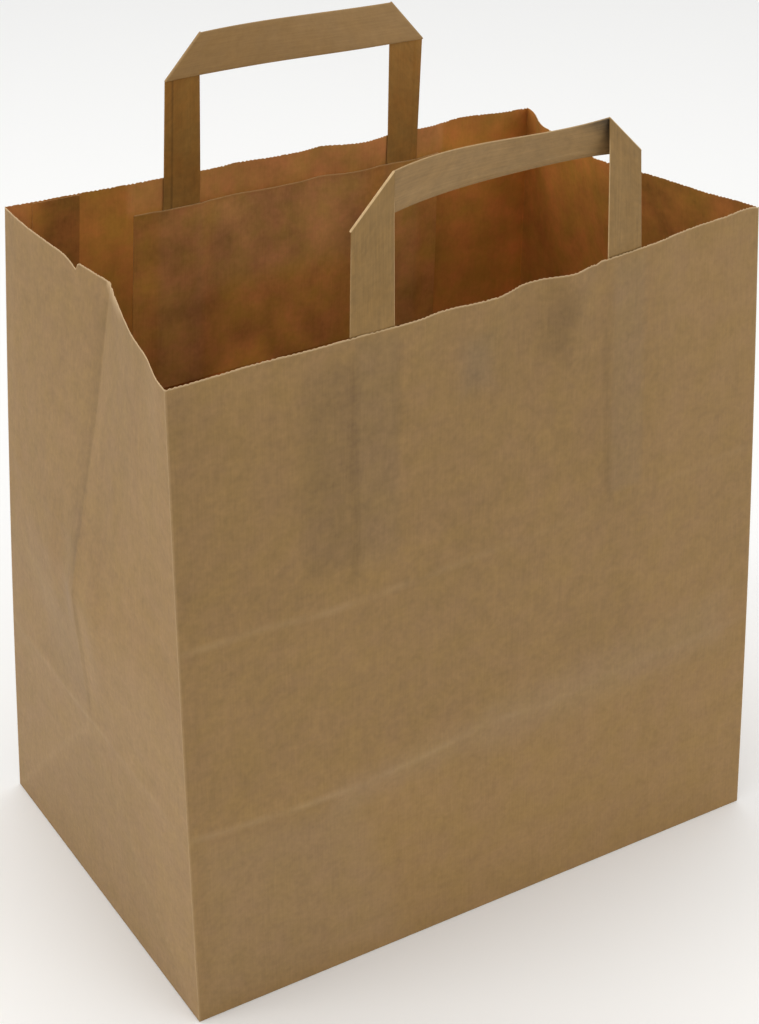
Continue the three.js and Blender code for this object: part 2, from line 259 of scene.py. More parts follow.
@dataclass(frozen=True)
class Mark:
    """A darker, lighter or greyer field on a wall, with straight sides and soft edges."""

    panel: Panel
    corners: tuple[tuple[float, float], ...]
    soft: float
    tone: float
    grey: float = 0.0

    @classmethod
    def block(
        cls, panel: Panel, low: tuple[float, float], high: tuple[float, float], *looks: float
    ) -> "Mark":
        """A mark with level and upright sides.

        Args:
            panel: The wall.
            low: Its lower corner nearer the wall's first fold, as a place and a height.
            high: The opposite corner.
            *looks: How soft its edges are, its tone and its greyness.

        Returns:
            The mark.
        """
        (start, foot), (end, top) = low, high
        return cls(panel, ((start, foot), (end, foot), (end, top), (start, top)), *looks)

    def cover(self, place: np.ndarray, height: np.ndarray) -> np.ndarray:
        """How much of the mark lies at places along the wall.

        Args:
            place: Places along the wall.
            height: Heights on the paper.

        Returns:
            One well inside the field, and nothing well outside.
        """
        depth = np.full(place.shape, np.inf)
        for start, end in zip(self.corners, (*self.corners[1:], self.corners[0])):
            run = unit(np.array(end) - np.array(start))
            aside = (height - start[1]) * run[0] - (place - start[0]) * run[1]
            depth = np.minimum(depth, aside)
        return swell(depth, -self.soft / 2, self.soft / 2)


@dataclass(frozen=True)
class CreaseRing:
    """A crease right round the bag from folding it flat: its route, its ridge and its worn fibres."""

    height: float
    route: tuple[tuple[float, float], ...]
    rise: float
    reach: float
    wear: tuple[tuple[float, float], ...]
    half_width: float = 2.4
    row_shares: tuple[float, ...] = (-1.0, -0.45, 0.0, 0.45, 1.0)
    drag: float = 45.0

    def rows(self) -> list[float]:
        """The heights of the rows of points that the crease needs."""
        return [self.height + share * self.half_width for share in self.row_shares]

    def worn(self, u: np.ndarray, height: np.ndarray) -> np.ndarray:
        """How worn the paper is at places round the bag."""
        places, amounts = zip(*self.wear)
        return np.interp(u, places, amounts, period=GIRTH) * bell(height - self.level(u), self.half_width)

    def level(self, u: np.ndarray) -> np.ndarray:
        """The crease's height at places round the bag."""
        places, heights = zip(*self.route)
        return np.interp(u, places, heights, period=GIRTH)

    def shift(self, u: np.ndarray, height: np.ndarray) -> np.ndarray:
        """How far rows of points near the crease move up to follow it."""
        return (self.level(u) - self.height) * bell(height - self.height, self.drag)

    def offset(self, panel: Panel, place: np.ndarray, height: np.ndarray) -> np.ndarray:
        """How far a wall moves outwards at places along it."""
        ends = ramp(np.minimum(place, panel.width - place), 0.0, 2 * self.reach)
        return self.rise * ends * ridge(height - self.level(place + panel.girth), self.reach)


@dataclass(frozen=True)
class Tear:
    """A torn or sagging stretch of the rim, which dips in a curve to its lowest place and rises straight."""

    panel: Panel
    place: float
    curved_side: float
    straight_side: float
    depth: float

    def drop(self, place: np.ndarray) -> np.ndarray:
        """How far the rim drops.

        Args:
            place: Places along its wall.

        Returns:
            A drop for each place.
        """
        before = ramp(place, self.place - self.curved_side, self.place)
        after = ramp(place, self.place + self.straight_side, self.place)
        return self.depth * np.where(place < self.place, before**2, after)


# The fold of the block bottom, pressed flat against the broad walls, and a fainter one above it
FLAT_FOLDS = (
    CreaseRing(
        height=LOW_CREASE,
        route=(
            (1.0, 87.0), (41.0, 84.0), (70.0, 83.0), (97.0, 85.0), (126.0, 89.0), (156.0, 87.0),
            (188.0, 90.0), (257.0, 92.0), (347.0, 88.0), (440.0, 89.0), (560.0, 86.0), (690.0, 87.0),
            (785.0, 91.0),
        ),
        rise=0.55,
        reach=8.0,
        wear=(
            (2.0, 0.17), (60.0, 0.19), (110.0, 0.15), (165.0, 0.06), (255.0, 0.07), (262.0, 0.1),
            (430.0, 0.1), (440.0, 0.2), (690.0, 0.2), (700.0, 0.08), (780.0, 0.13), (866.0, 0.05),
        ),
    ),
    CreaseRing(
        height=HIGH_CREASE,
        route=(
            (2.0, 165.0), (28.0, 165.0), (58.0, 163.0), (98.0, 164.0), (179.0, 167.0), (242.0, 169.0),
            (347.0, 168.0), (440.0, 168.0), (565.0, 165.0), (690.0, 165.0), (785.0, 165.0),
        ),
        rise=0.3,
        reach=7.0,
        wear=(
            (2.0, 0.13), (90.0, 0.13), (130.0, 0.05), (200.0, 0.03), (256.0, 0.06), (260.0, 0.0),
            (435.0, 0.0), (440.0, 0.12), (690.0, 0.12), (695.0, 0.0), (868.0, 0.0),
        ),
    ),
)

# Waves along the rim, which die out down the walls: place, height, reach along and up, and depth
RIM_WAVES = (
    Dent(Panel.FRONT, 31.0, HEIGHT, 26.0, 50.0, 1.0),
    Dent(Panel.FRONT, 87.0, HEIGHT, 14.0, 45.0, -0.7),
    Dent(Panel.FRONT, 105.0, HEIGHT, 13.0, 45.0, 1.1),
    Dent(Panel.FRONT, 141.0, HEIGHT, 17.0, 60.0, 3.2),
    Dent(Panel.FRONT, 160.0, HEIGHT, 13.0, 50.0, -2.2),
    Dent(Panel.FRONT, 222.0, HEIGHT, 24.0, 60.0, 2.0),
    Dent(Panel.BACK, 35.0, HEIGHT, 24.0, 60.0, -4.2),
    Dent(Panel.BACK, 95.0, HEIGHT, 19.0, 60.0, 3.5),
    Dent(Panel.BACK, 115.0, HEIGHT, 12.0, 45.0, -2.0),
    Dent(Panel.BACK, 155.0, HEIGHT, 17.0, 45.0, -1.8),
    Dent(Panel.LEFT, 149.0, HEIGHT, 20.0, 60.0, 1.0),
    Dent(Panel.RIGHT, 141.0, HEIGHT, 32.0, 110.0, 4.9),
)

# Buckles where the left gusset's folds spring against each other, and shallow hollows of use
BUCKLES = (
    Dent(Panel.LEFT, 70.0, 150.0, 16.0, 34.0, 1.4),
    Dent(Panel.LEFT, 104.0, 140.0, 15.0, 40.0, -0.9),
    Dent(Panel.LEFT, 40.0, 112.0, 34.0, 24.0, 1.6),
    Dent(Panel.FRONT, 118.0, 240.0, 12.0, 18.0, 0.6),
    Dent(Panel.FRONT, 155.0, 244.0, 9.0, 20.0, 0.8),
)

# Where the rim is torn or sags: place, reach to both sides, and depth
RIM_TEARS = (
    Tear(Panel.LEFT, 64.0, 14.0, 1.4, 2.7),
    Tear(Panel.LEFT, 89.0, 1.8, 4.0, 1.1),
    Tear(Panel.LEFT, 97.0, 1.6, 3.0, 0.6),
    Tear(Panel.FRONT, 171.0, 5.0, 2.0, 0.7),
    Tear(Panel.FRONT, 128.0, 40.0, 40.0, 0.9),
    Tear(Panel.FRONT, 222.0, 46.0, 30.0, 0.8),
    Tear(Panel.FRONT, 260.0, 12.0, 1.0, 1.54),
    Tear(Panel.RIGHT, 28.0, 300.0, 30.0, 1.9),
    Tear(Panel.RIGHT, 66.0, 60.0, 42.0, 1.4),
)

# Marks on the outer faces, of stains and of painted light and shade: corners, softness, tone and greyness
OUTER_STAINS_AND_PAINTED_LIGHT = (
    # Darker on the front's upper part
    Mark.block(Panel.FRONT, (-9.0, 165.0), (200.0, 262.0), 40.0, -0.09, -0.01),
    # Painted light low on the front
    Mark.block(Panel.FRONT, (60.0, -9.0), (269.0, 75.0), 30.0, 0.05),
    # Painted shade on the left gusset, most on its upper part
    Mark.block(Panel.LEFT, (-9.0, 140.0), (184.0, 273.0), 50.0, -0.10),
    Mark.block(Panel.LEFT, (-9.0, -9.0), (184.0, 140.0), 40.0, -0.03, 0.05),
    # Darker and greyer by the front's legs and the patch's margins
    Mark(Panel.FRONT, ((48.0, 180.0), (68.0, 180.0), (66.0, 256.0), (48.0, 256.0)), 8.0, -0.13, 0.01),
    Mark(Panel.FRONT, ((67.0, 173.0), (70.0, 173.0), (68.4, 256.0), (65.4, 256.0)), 3.2, -0.16),
    Mark(Panel.FRONT, ((70.0, 176.0), (86.0, 176.0), (84.0, 262.0), (68.0, 262.0)), 4.0, -0.08, 0.03),
    Mark.block(Panel.FRONT, (83.5, 222.0), (85.5, 258.0), 3.0, -0.09),
    Mark(Panel.FRONT, ((180.0, 168.0), (183.0, 168.0), (178.0, 240.0), (175.0, 240.0)), 3.0, -0.12),
    Mark(Panel.FRONT, ((182.5, 171.0), (198.0, 171.0), (196.0, 262.0), (180.0, 262.0)), 4.0, -0.02, 0.05),
    # Painted shade in the dent below the front rim
    Mark(Panel.FRONT, ((148.0, 236.0), (158.0, 232.0), (164.0, 256.0), (152.0, 260.0)), 10.0, -0.16),
    # A grey smudge
    Mark.block(Panel.FRONT, (112.0, 232.0), (124.0, 250.0), 11.0, -0.09, 0.08),
    # Painted shade in a short crease
    Mark(Panel.FRONT, ((228.0, 188.6), (244.0, 184.6), (244.0, 187.4), (228.0, 191.4)), 2.5, -0.09),
    # Lighter upright lines
    Mark.block(Panel.FRONT, (89.0, 29.0), (91.0, 87.0), 3.0, 0.06),
    Mark.block(Panel.FRONT, (176.0, 62.0), (178.0, 86.0), 3.0, 0.07),
    # Painted highlights along the low crease
    Mark(Panel.FRONT, ((60.0, 74.0), (128.0, 80.0), (128.0, 94.0), (60.0, 86.0)), 12.0, 0.03, 0.05),
    Mark(Panel.FRONT, ((128.0, 76.0), (246.0, 84.0), (246.0, 108.0), (128.0, 96.0)), 18.0, 0.03, 0.06),
    # Greyer low on the front
    Mark(Panel.FRONT, ((4.0, 4.0), (88.0, 4.0), (70.0, 78.0), (4.0, 82.0)), 20.0, 0.01, 0.05),
    # Painted highlights above the high crease
    Mark(Panel.FRONT, ((70.0, 173.0), (104.0, 174.0), (104.0, 182.0), (70.0, 181.0)), 8.0, 0.05),
    Mark(Panel.FRONT, ((118.0, 175.0), (168.0, 177.0), (168.0, 184.0), (118.0, 182.0)), 7.0, 0.04),
    # Painted shade along the front's first fold
    Mark.block(Panel.FRONT, (2.0, 20.0), (7.0, 262.0), 6.0, -0.05),
    # Darker between the creases
    Mark.block(Panel.FRONT, (-9.0, 96.0), (200.0, 160.0), 20.0, -0.04),
    # Painted shade on the left gusset's tuck triangle
    Mark(Panel.LEFT, ((2.0, -2.0), (172.0, -2.0), (91.0, 86.0)), 12.0, -0.04),
    # Painted light on the left gusset's strip by its front fold
    Mark(
        Panel.LEFT, ((168.0, 2.0), (176.0, 2.0), (176.0, 262.0), (150.0, 262.0), (106.0, 128.0)),
        14.0, 0.05,
    ),
    # Painted shade above the low crease towards the left gusset's back fold
    Mark(Panel.LEFT, ((30.0, 92.0), (90.0, 92.0), (80.0, 148.0)), 10.0, -0.06),
    # Painted shade and light on either side of the left gusset's centre crease
    Mark(Panel.LEFT, ((78.0, 150.0), (88.0, 150.0), (86.5, 256.0), (80.0, 256.0)), 6.0, -0.06),
    Mark(Panel.LEFT, ((84.0, 156.0), (87.4, 156.0), (87.4, 258.0), (85.2, 258.0)), 2.0, -0.10),
    Mark(Panel.LEFT, ((88.5, 150.0), (100.0, 150.0), (96.0, 258.0), (87.0, 258.0)), 4.0, 0.05),
    Mark(Panel.LEFT, ((89.0, 95.0), (91.5, 95.0), (90.0, 148.0), (87.5, 148.0)), 2.6, -0.13),
    Mark(Panel.LEFT, ((92.0, 95.0), (99.0, 95.0), (98.0, 146.0), (90.5, 146.0)), 4.0, 0.05),
    # Along the back's seam and over its legs
    Mark.block(Panel.BACK, (248.2, -2.0), (249.8, 266.0), 1.8, -0.16),
    Mark.block(Panel.BACK, (229.0, -2.0), (248.0, 266.0), 3.0, -0.04, 0.08),
    Mark.block(Panel.BACK, (64.0, 176.0), (81.0, 262.0), 4.0, -0.02, 0.05),
    Mark.block(Panel.BACK, (175.0, 176.0), (192.0, 262.0), 4.0, -0.02, 0.05),
)

# Painted light and shade on the inner faces, for light that comes through the paper: less where it lies
# doubled, more above the patch, by the back corners and on the right gusset, and darker on that gusset's
# upper front part
INNER_PAINTED_LIGHT = (
    Mark.block(Panel.BACK, (48.0, 252.0), (208.0, 268.0), 4.0, 0.2, 0.05),
    Mark.block(Panel.BACK, (-12.0, 110.0), (47.0, 258.0), 20.0, 0.40),
    Mark.block(Panel.BACK, (196.0, 120.0), (229.0, 262.0), 10.0, 0.14),
    Mark.block(Panel.BACK, (136.0, 156.0), (166.0, 180.0), 9.0, 0.6),
    Mark.block(Panel.BACK, (-6.0, 140.0), (9.0, 250.0), 10.0, 0.12),
    Mark.block(Panel.BACK, (250.0, 180.0), (264.0, 272.0), 4.0, 0.14, 0.03),
    Mark.block(Panel.RIGHT, (90.0, 130.0), (190.0, 270.0), 24.0, 0.18),
    Mark(Panel.RIGHT, ((-8.0, 150.0), (70.0, 150.0), (60.0, 274.0), (-8.0, 274.0)), 24.0, -0.22),
)

# Painted light and shade on the patches: darker over the legs, painted shade towards one end where the front
# wall shades it, and a few pools of painted light
PATCH_PAINTED_LIGHT = (
    Mark.block(Panel.BACK, (92.0, 214.0), (172.0, 256.0), 16.0, -0.06, 0.06),
    Mark.block(Panel.BACK, (196.0, 160.0), (216.0, 262.0), 18.0, -0.07),
    Mark(Panel.BACK, ((138.0, 170.0), (164.0, 170.0), (162.0, 187.0), (142.0, 187.0)), 9.0, 0.45),
    Mark.block(Panel.BACK, (122.0, 180.0), (136.0, 198.0), 10.0, 0.25),
    Mark.block(Panel.BACK, (176.0, 228.0), (214.0, 256.0), 14.0, -0.14),
    Mark.block(Panel.BACK, (104.0, 210.0), (122.0, 232.0), 14.0, 0.18),
    Mark.block(Panel.BACK, (62.0, 170.0), (83.0, 256.0), 5.0, -0.06, 0.03),
    Mark.block(Panel.BACK, (173.0, 170.0), (194.0, 256.0), 5.0, -0.06, 0.04),
    Mark.block(Panel.FRONT, (64.0, 170.0), (85.0, 256.0), 5.0, -0.06, 0.03),
    Mark.block(Panel.FRONT, (175.0, 170.0), (196.0, 256.0), 5.0, -0.06, 0.03),
)


def marked(marks: tuple[Mark, ...], panel: Panel, place: np.ndarray, height: np.ndarray) -> np.ndarray:
    """The tone and the greyness that marks give a wall.

    Args:
        marks: The marks, of any wall.
        panel: The wall.
        place: Places along it.
        height: Heights on the paper.

    Returns:
        Two layers, of tone and of greyness, for each place.
    """
    total = np.zeros((2, *place.shape))
    for mark in marks:
        if mark.panel is panel:
            cover = mark.cover(place, height)
            total += np.stack([mark.tone * cover, mark.grey * cover])
    return total


@dataclass
class PaperWalls:
    """The bag's four walls as they stand: racked out of square at the mouth, bowed, dented and creased."""

    # How the mouth stands over the base
    mouth_turn_broad_deg: float = 6.4
    mouth_turn_side_deg: float = 6.0
    mouth_shift: tuple[float, float] = (1.6, -2.75)
    long_diagonal_drop: float = 3.4
    short_diagonal_rise: float = 2.5
    # How far the folds bow, and the broad walls at the rim, with how much that bow is skewed
    edge_bow: float = 1.2
    front_bow: tuple[float, float] = (6.7, -0.3)
    back_bow: tuple[float, float] = (-1.0, 0.35)
    # The gussets' folds: the mouth's inward push, the bulge below it, and the tuck's low peak
    gusset_push: dict[Panel, float] = field(default_factory=lambda: {Panel.LEFT: 12.3, Panel.RIGHT: 18.5})
    gusset_bulge: dict[Panel, float] = field(default_factory=lambda: {Panel.LEFT: 6.6, Panel.RIGHT: 4.0})
    gusset_curl: dict[Panel, float] = field(default_factory=lambda: {Panel.LEFT: 1.5, Panel.RIGHT: 1.15})
    tuck_peak: dict[Panel, float] = field(default_factory=lambda: {Panel.LEFT: 1.9, Panel.RIGHT: 1.2})
    bulge_height: float = 146.0
    centre_route: tuple[tuple[float, float], ...] = (
        (0.0, 0.0), (90.0, 3.5), (147.0, 2.5), (228.0, 3.0), (264.0, -0.5),
    )
    centre_drag: float = 45.0
    # What use did to them
    dents: tuple[Dent, ...] = (*RIM_WAVES, *BUCKLES)
    rings: tuple[CreaseRing, ...] = FLAT_FOLDS
    wrinkle_size: float = 42.0
    wrinkle_height: float = 0.5
    wrinkle_mean: float = 0.4
    cockle_size: float = 15.0
    cockle_height: float = 0.14
    still_edge: float = 14.0
    seed: float = 7.3
    cockle_seed: float = 12.3

    def mouth_corner(self, corner: int) -> np.ndarray:
        """A corner of the mouth.

        Args:
            corner: 0 to 3, from the front left one round past the front right one.

        Returns:
            Its point.
        """
        side_x, side_y = CORNER_SIDES[corner]
        broad = math.radians(self.mouth_turn_broad_deg)
        gusset = math.radians(self.mouth_turn_side_deg)
        mean_push = sum(self.gusset_push.values()) / 2
        # A wall that is pushed in or bowed spans less than its width
        half_side = math.sqrt(DEPTH**2 - (2 * mean_push) ** 2) / 2
        half_broad = (WIDTH - (math.pi * self.front_bow[0] / 2) ** 2 / WIDTH) / 2
        x, y = self.mouth_shift
        x = x + side_x * half_broad * math.cos(broad) + side_y * half_side * math.sin(gusset)
        y = y + side_x * half_broad * math.sin(broad) + side_y * half_side * math.cos(gusset)
        lift = -self.long_diagonal_drop if side_x == side_y else self.short_diagonal_rise
        return np.array([x, y, HEIGHT + lift])

    def fold(self, corner: int, height: np.ndarray) -> np.ndarray:
        """Points of an upright fold.

        Args:
            corner: 0 to 3, as for mouth_corner.
            height: Heights on the paper.

        Returns:
            A point for each height.
        """
        side_x, side_y = CORNER_SIDES[corner]
        mouth = self.mouth_corner(corner)
        share = height / HEIGHT
        bow = self.edge_bow * np.sin(math.pi * share) * DIAGONAL
        x = side_x * WIDTH / 2 * (1 - share) + mouth[0] * share + side_x * bow
        y = side_y * DEPTH / 2 * (1 - share) + mouth[1] * share + side_y * bow
        z = height + (mouth[2] - HEIGHT) * ramp(height, HIGH_CREASE, HEIGHT)
        return np.stack([x, y, z], axis=-1)

    def broad_form(self, panel: Panel, place: np.ndarray, height: np.ndarray) -> np.ndarray:
        """How far a broad wall's bow carries it outwards.

        Args:
            panel: The broad wall.
            place: Places along it.
            height: Heights on the paper.

        Returns:
            An offset for each place.
        """
        bow, skew = self.front_bow if panel is Panel.FRONT else self.back_bow
        turn = math.pi * place / WIDTH
        return ramp(height, LOW_CREASE, HEIGHT) * (bow * np.sin(turn) + skew * np.sin(2 * turn))

    def gusset_form(self, panel: Panel, place: np.ndarray, height: np.ndarray) -> np.ndarray:
        """How far a gusset's folds carry it outwards.

        Args:
            panel: The gusset.
            place: Places along it.
            height: Heights on the paper.

        Returns:
            Offsets of the tuck's low peak, the bulge above it and the mouth's inward push.
        """
        inward_place = 2 * np.maximum(np.minimum(place, DEPTH - place), 0.0) / DEPTH
        peak, bulge = self.tuck_peak[panel], self.gusset_bulge[panel]
        tuck = peak * np.minimum(np.maximum(height, 0.0) / LOW_CREASE, inward_place)
        grown = ramp(height, LOW_CREASE, self.bulge_height)
        sharp = inward_place ** (1.0 + (self.gusset_curl[panel] - 1.0) * grown)
        push = (self.gusset_push[panel] + bulge) * ramp(height, self.bulge_height, HEIGHT)
        return np.where(height < LOW_CREASE, tuck, sharp * (peak + (bulge - peak) * grown - push))

    def wrinkles(self, panel: Panel, place: np.ndarray, height: np.ndarray) -> np.ndarray:
        """Fine hollows and crumples, stilled along the folds and at the foot.

        Args:
            panel: The wall.
            place: Places along it.
            height: Heights on the paper.

        Returns:
            An offset for each place.
        """
        u = place + panel.girth
        ridged = self.wrinkle_mean - np.abs(paper_noise(u, height, self.wrinkle_size, self.seed))
        cockle = paper_noise(u, height, self.cockle_size, self.cockle_seed)
        edge = np.minimum(place, panel.width - place)
        free = swell(edge, 0.0, self.still_edge) * swell(height, 0.0, self.still_edge)
        return free * (self.wrinkle_height * ridged + self.cockle_height * cockle)

    def relief(self, panel: Panel, place: np.ndarray, height: np.ndarray) -> np.ndarray:
        """How far a wall stands outwards from the straight line between its folds.

        Args:
            panel: The wall.
            place: Places along it.
            height: Heights on the paper.

        Returns:
            An offset for each place.
        """
        form = self.broad_form if panel.is_broad else self.gusset_form
        total = form(panel, place, height) + self.wrinkles(panel, place, height)
        for ring in self.rings:
            total = total + ring.offset(panel, place, height)
        for dent in self.dents:
            if dent.panel is panel:
                total = total + dent.offset(place, height)
        return total

    def drift(self, panel: Panel, place: np.ndarray, height: np.ndarray) -> np.ndarray:
        """How far the left gusset's centre crease strays along its wall.

        Args:
            panel: The wall.
            place: Places along it.
            height: Heights on the paper.

        Returns:
            A shift for each place, which is nothing on the other walls.
        """
        if panel is not Panel.LEFT:
            return np.zeros_like(place)
        heights, strays = zip(*self.centre_route)
        return np.interp(height, heights, strays) * bell(place - DEPTH / 2, self.centre_drag)

    def face(
        self, panel: Panel, place: np.ndarray, height: np.ndarray, depth: float | np.ndarray = 0.0
    ) -> np.ndarray:
        """Points of a wall's outer face, or inside it.

        Args:
            panel: Which wall.
            place: Places along it from its first fold.
            height: Heights on the paper.
            depth: How far inside the outer face.

        Returns:
            A point for each place and height.
        """
        first = self.fold(panel.value, height)
        chord = self.fold((panel.value + 1) % len(Panel), height) - first
        outward = unit(np.stack([chord[..., 1], -chord[..., 0], np.zeros_like(chord[..., 0])], axis=-1))
        offset = self.relief(panel, place, height) - depth
        share = (place + self.drift(panel, place, height)) / panel.width
        return first + chord * share[..., None] + outward * offset[..., None]


def plain_mesh(host: bpy.types.Object) -> bpy.types.Mesh:
    """Takes an object's modified shape as a plain mesh, and removes the object.

    Args:
        host: An object whose modifiers are to be made final.

    Returns:
        The final mesh.
    """
    graph = bpy.context.evaluated_depsgraph_get()
    mesh = bpy.data.meshes.new_from_object(host.evaluated_get(graph))
    old = host.data
    bpy.data.objects.remove(host)
    bpy.data.meshes.remove(old)
    return mesh


def hosted(name: str, content: bpy.types.ID) -> bpy.types.Object:
    """Puts a mesh, a lamp or a camera into the scene as an object at the origin.

    Args:
        name: The object's name.
        content: What the object holds.

    Returns:
        The object.
    """
    host = bpy.data.objects.new(name, content)
    bpy.context.scene.collection.objects.link(host)
    return host


def thickened(
    mesh: bpy.types.Mesh, thickness: float, materials: list[bpy.types.Material]
) -> bpy.types.Mesh:
    """Gives a sheet its thickness, inwards from its face.

    Args:
        mesh: A sheet whose faces point outwards.
        thickness: In millimetres.
        materials: The finish of its face, of its back and of its cut edges.

    Returns:
        A closed mesh.
    """
    mesh.materials.clear()
    for material in materials:
        mesh.materials.append(material)
    host = hosted("thickening", mesh)
    solid = host.modifiers.new("thickness", "SOLIDIFY")
    solid.thickness = thickness * MM
    solid.offset = -1.0
    solid.use_even_offset = True
    solid.material_offset = 1
    solid.material_offset_rim = 2
    return plain_mesh(host)


def lay_flat(mesh: bpy.types.Mesh, blank: np.ndarray) -> None:
    """Writes where a mesh's points lie on the flat paper.

    Args:
        mesh: The mesh.
        blank: Each point's place and height on the flat paper in millimetres.
    """
    points = np.zeros(len(mesh.loops), dtype=np.int32)
    mesh.loops.foreach_get("vertex_index", points)
    layer = mesh.uv_layers.new(name=BLANK_MAP)
    layer.data.foreach_set("uv", (blank.reshape(-1, 2)[points] * MM).ravel())


def sheet(points: np.ndarray, blank: np.ndarray) -> bpy.types.Mesh:
    """A sheet of paper as a grid of faces.

    Args:
        points: Rows of points in millimetres, going up and, seen from the face's side, to the right.
        blank: The same points' places on the flat paper in millimetres.

    Returns:
        A mesh with no thickness.
    """
    high, wide = points.shape[:2]
    index = np.arange(high * wide).reshape(high, wide)
    corners = [index[:-1, :-1], index[:-1, 1:], index[1:, 1:], index[1:, :-1]]
    faces = np.stack(corners, axis=-1).reshape(-1, 4)
    mesh = bpy.data.meshes.new("sheet")
    mesh.from_pydata((points.reshape(-1, 3) * MM).tolist(), [], faces.tolist())
    lay_flat(mesh, blank)
    return mesh


def joined(
    name: str, meshes: list[bpy.types.Mesh], materials: list[bpy.types.Material], sharp_deg: float
) -> bpy.types.Object:
    """Joins meshes to one piece, which is smooth but for its sharp edges.

    Args:
        name: The piece's name.
        meshes: Meshes whose faces number the materials in the same way.
        materials: The piece's materials, in that order.
        sharp_deg: The turn between two faces from which their edge is sharp.

    Returns:
        The piece's object, at the origin.
    """
    build = bmesh.new()
    for mesh in meshes:
        build.from_mesh(mesh)
        bpy.data.meshes.remove(mesh)
    whole = bpy.data.meshes.new(name)
    build.to_mesh(whole)
    build.free()
    for material in materials:
        whole.materials.append(material)
    whole.shade_smooth()
    whole.set_sharp_from_angle(angle=math.radians(sharp_deg))
    return hosted(name, whole)


class GrainRun(Enum):
    """Which way a paper's fibres run on its flat blank, as the streaks' breadth along it and up it.

    Real fibres are finer than the picture can show, so the streaks are drawn as coarse as they need to show.
    """

    UPWARDS = (0.7, 16.0)
    ALONG = (16.0, 0.7)


@dataclass(frozen=True)
class KraftFinish:
    """Unbleached kraft paper, machine-made and unglazed.

    To the eye it is matt brown with cloudy pulp in two shades, fine streaks where the fibres run and darker
    flecks. Worn creases and cut edges show paler fibres.
    """

    name: str
    paper: str
    second_paper: str
    worn: str
    side: Side
    grain: GrainRun
    # How strong each pattern is, as a share of the paper's lightness
    cloud: float = 0.16
    streak: float = 0.12
    fleck: float = 0.17
    blotch: float = 0.08
    # How wide each pattern's features are
    cloud_mm: float = 7.0
    fleck_mm: float = 2.2
    blotch_mm: float = 45.0
    shade_mm: float = 15.0
    wear_mm: float = 1.6
    # How the patterns are drawn
    pattern_detail: float = 3.0
    pattern_roughness: float = 0.6
    shade_span: tuple[float, float] = (0.35, 0.65)
    fray: float = 0.5
    # How the surface feels and takes the light
    relief_mm: float = 0.05
    relief_strength: float = 0.6
    roughness: float = 0.68
    dark_roughness: float = 0.15
    gloss: float = 0.5
    ior: float = 1.45

    def pattern(self, vector: Socket, size: float) -> dict[str, Any]:
        """A cloudy pattern's inputs, for features about a size in millimetres wide."""
        detail = {"Detail": self.pattern_detail, "Roughness": self.pattern_roughness}
        return {"Vector": vector, "Scale": 1 / (size * MM), **detail}

    def pulp(self, tree: bpy.types.NodeTree, flat: Socket) -> tuple[Socket, Socket]:
        """Adds the pulp's pattern.

        Args:
            tree: The material's nodes.
            flat: The paper's flat coordinates, in metres.

        Returns:
            Sockets with the paper's lightness, about one, and its fine relief, about nothing.
        """
        across, up = self.grain.value
        fibres = add_node(tree, "ShaderNodeMapping", {"Vector": flat, "Scale": (1 / across, 1 / up, 1.0)})
        # On the fibres' own coordinates a streak is one millimetre long and wide
        streak_mm = 1.0
        # The tone layer carries stains and painted light and shade into the paper's lightness
        tone = add_node(tree, "ShaderNodeAttribute", attribute_name=Trace.TONE.on(self.side))
        toned = {0: tone.outputs["Fac"], 1: 1.0}
        lightness = add_node(tree, "ShaderNodeMath", toned, operation="ADD").outputs[0]
        height: Socket | float = 0.0
        for amount, vector, size in (
            (self.cloud, flat, self.cloud_mm),
            (self.streak, fibres.outputs[0], streak_mm),
            (self.fleck, flat, self.fleck_mm),
            (self.blotch, flat, self.blotch_mm),
        ):
            spots = add_node(tree, "ShaderNodeTexNoise", self.pattern(vector, size)).outputs[0]
            spread = {0: spots, 1: NOISE_MEAN}
            spread = add_node(tree, "ShaderNodeMath", spread, operation="SUBTRACT").outputs[0]
            lighter = {0: spread, 1: 2 * amount, 2: lightness}
            lightness = add_node(tree, "ShaderNodeMath", lighter, operation="MULTIPLY_ADD").outputs[0]
            higher = {0: spread, 1: amount, 2: height}
            height = add_node(tree, "ShaderNodeMath", higher, operation="MULTIPLY_ADD").outputs[0]
        return lightness, height

    def colour(self, tree: bpy.types.NodeTree, flat: Socket, lightness: Socket) -> Socket:
        """Adds the paper's colour.

        Args:
            tree: The material's nodes.
            flat: The paper's flat coordinates, in metres.
            lightness: A socket with the paper's lightness.

        Returns:
            A socket with the colour.
        """
        shade = add_node(tree, "ShaderNodeTexNoise", self.pattern(flat, self.shade_mm)).outputs[0]
        shade = {"Value": shade, "From Min": self.shade_span[0], "From Max": self.shade_span[1]}
        shade = add_node(tree, "ShaderNodeMapRange", shade).outputs[0]
        pulp = {0: shade, MIX_FIRST: linear(self.paper), MIX_SECOND: linear(self.second_paper)}
        paper = add_node(tree, "ShaderNodeMix", pulp, data_type="RGBA").outputs[MIX_RESULT]
        grey = add_node(tree, "ShaderNodeAttribute", attribute_name=Trace.GREY.on(self.side))
        kept = {0: 1.0, 1: grey.outputs["Fac"]}
        kept = add_node(tree, "ShaderNodeMath", kept, operation="SUBTRACT").outputs[0]
        toned = {"Saturation": kept, "Value": lightness, "Color": paper}
        toned = add_node(tree, "ShaderNodeHueSaturation", toned).outputs[0]
        frayed = add_node(tree, "ShaderNodeTexNoise", self.pattern(flat, self.wear_mm)).outputs[0]
        frayed = add_node(tree, "ShaderNodeMath", {0: frayed, 1: self.fray}, operation="ADD").outputs[0]
        worn = add_node(tree, "ShaderNodeAttribute", attribute_name=Trace.WORN.on(self.side))
        worn = {0: worn.outputs["Fac"], 1: frayed}
        worn = add_node(tree, "ShaderNodeMath", worn, operation="MULTIPLY", use_clamp=True).outputs[0]
        mixed = {0: worn, MIX_FIRST: toned, MIX_SECOND: linear(self.worn)}
        return add_node(tree, "ShaderNodeMix", mixed, data_type="RGBA").outputs[MIX_RESULT]

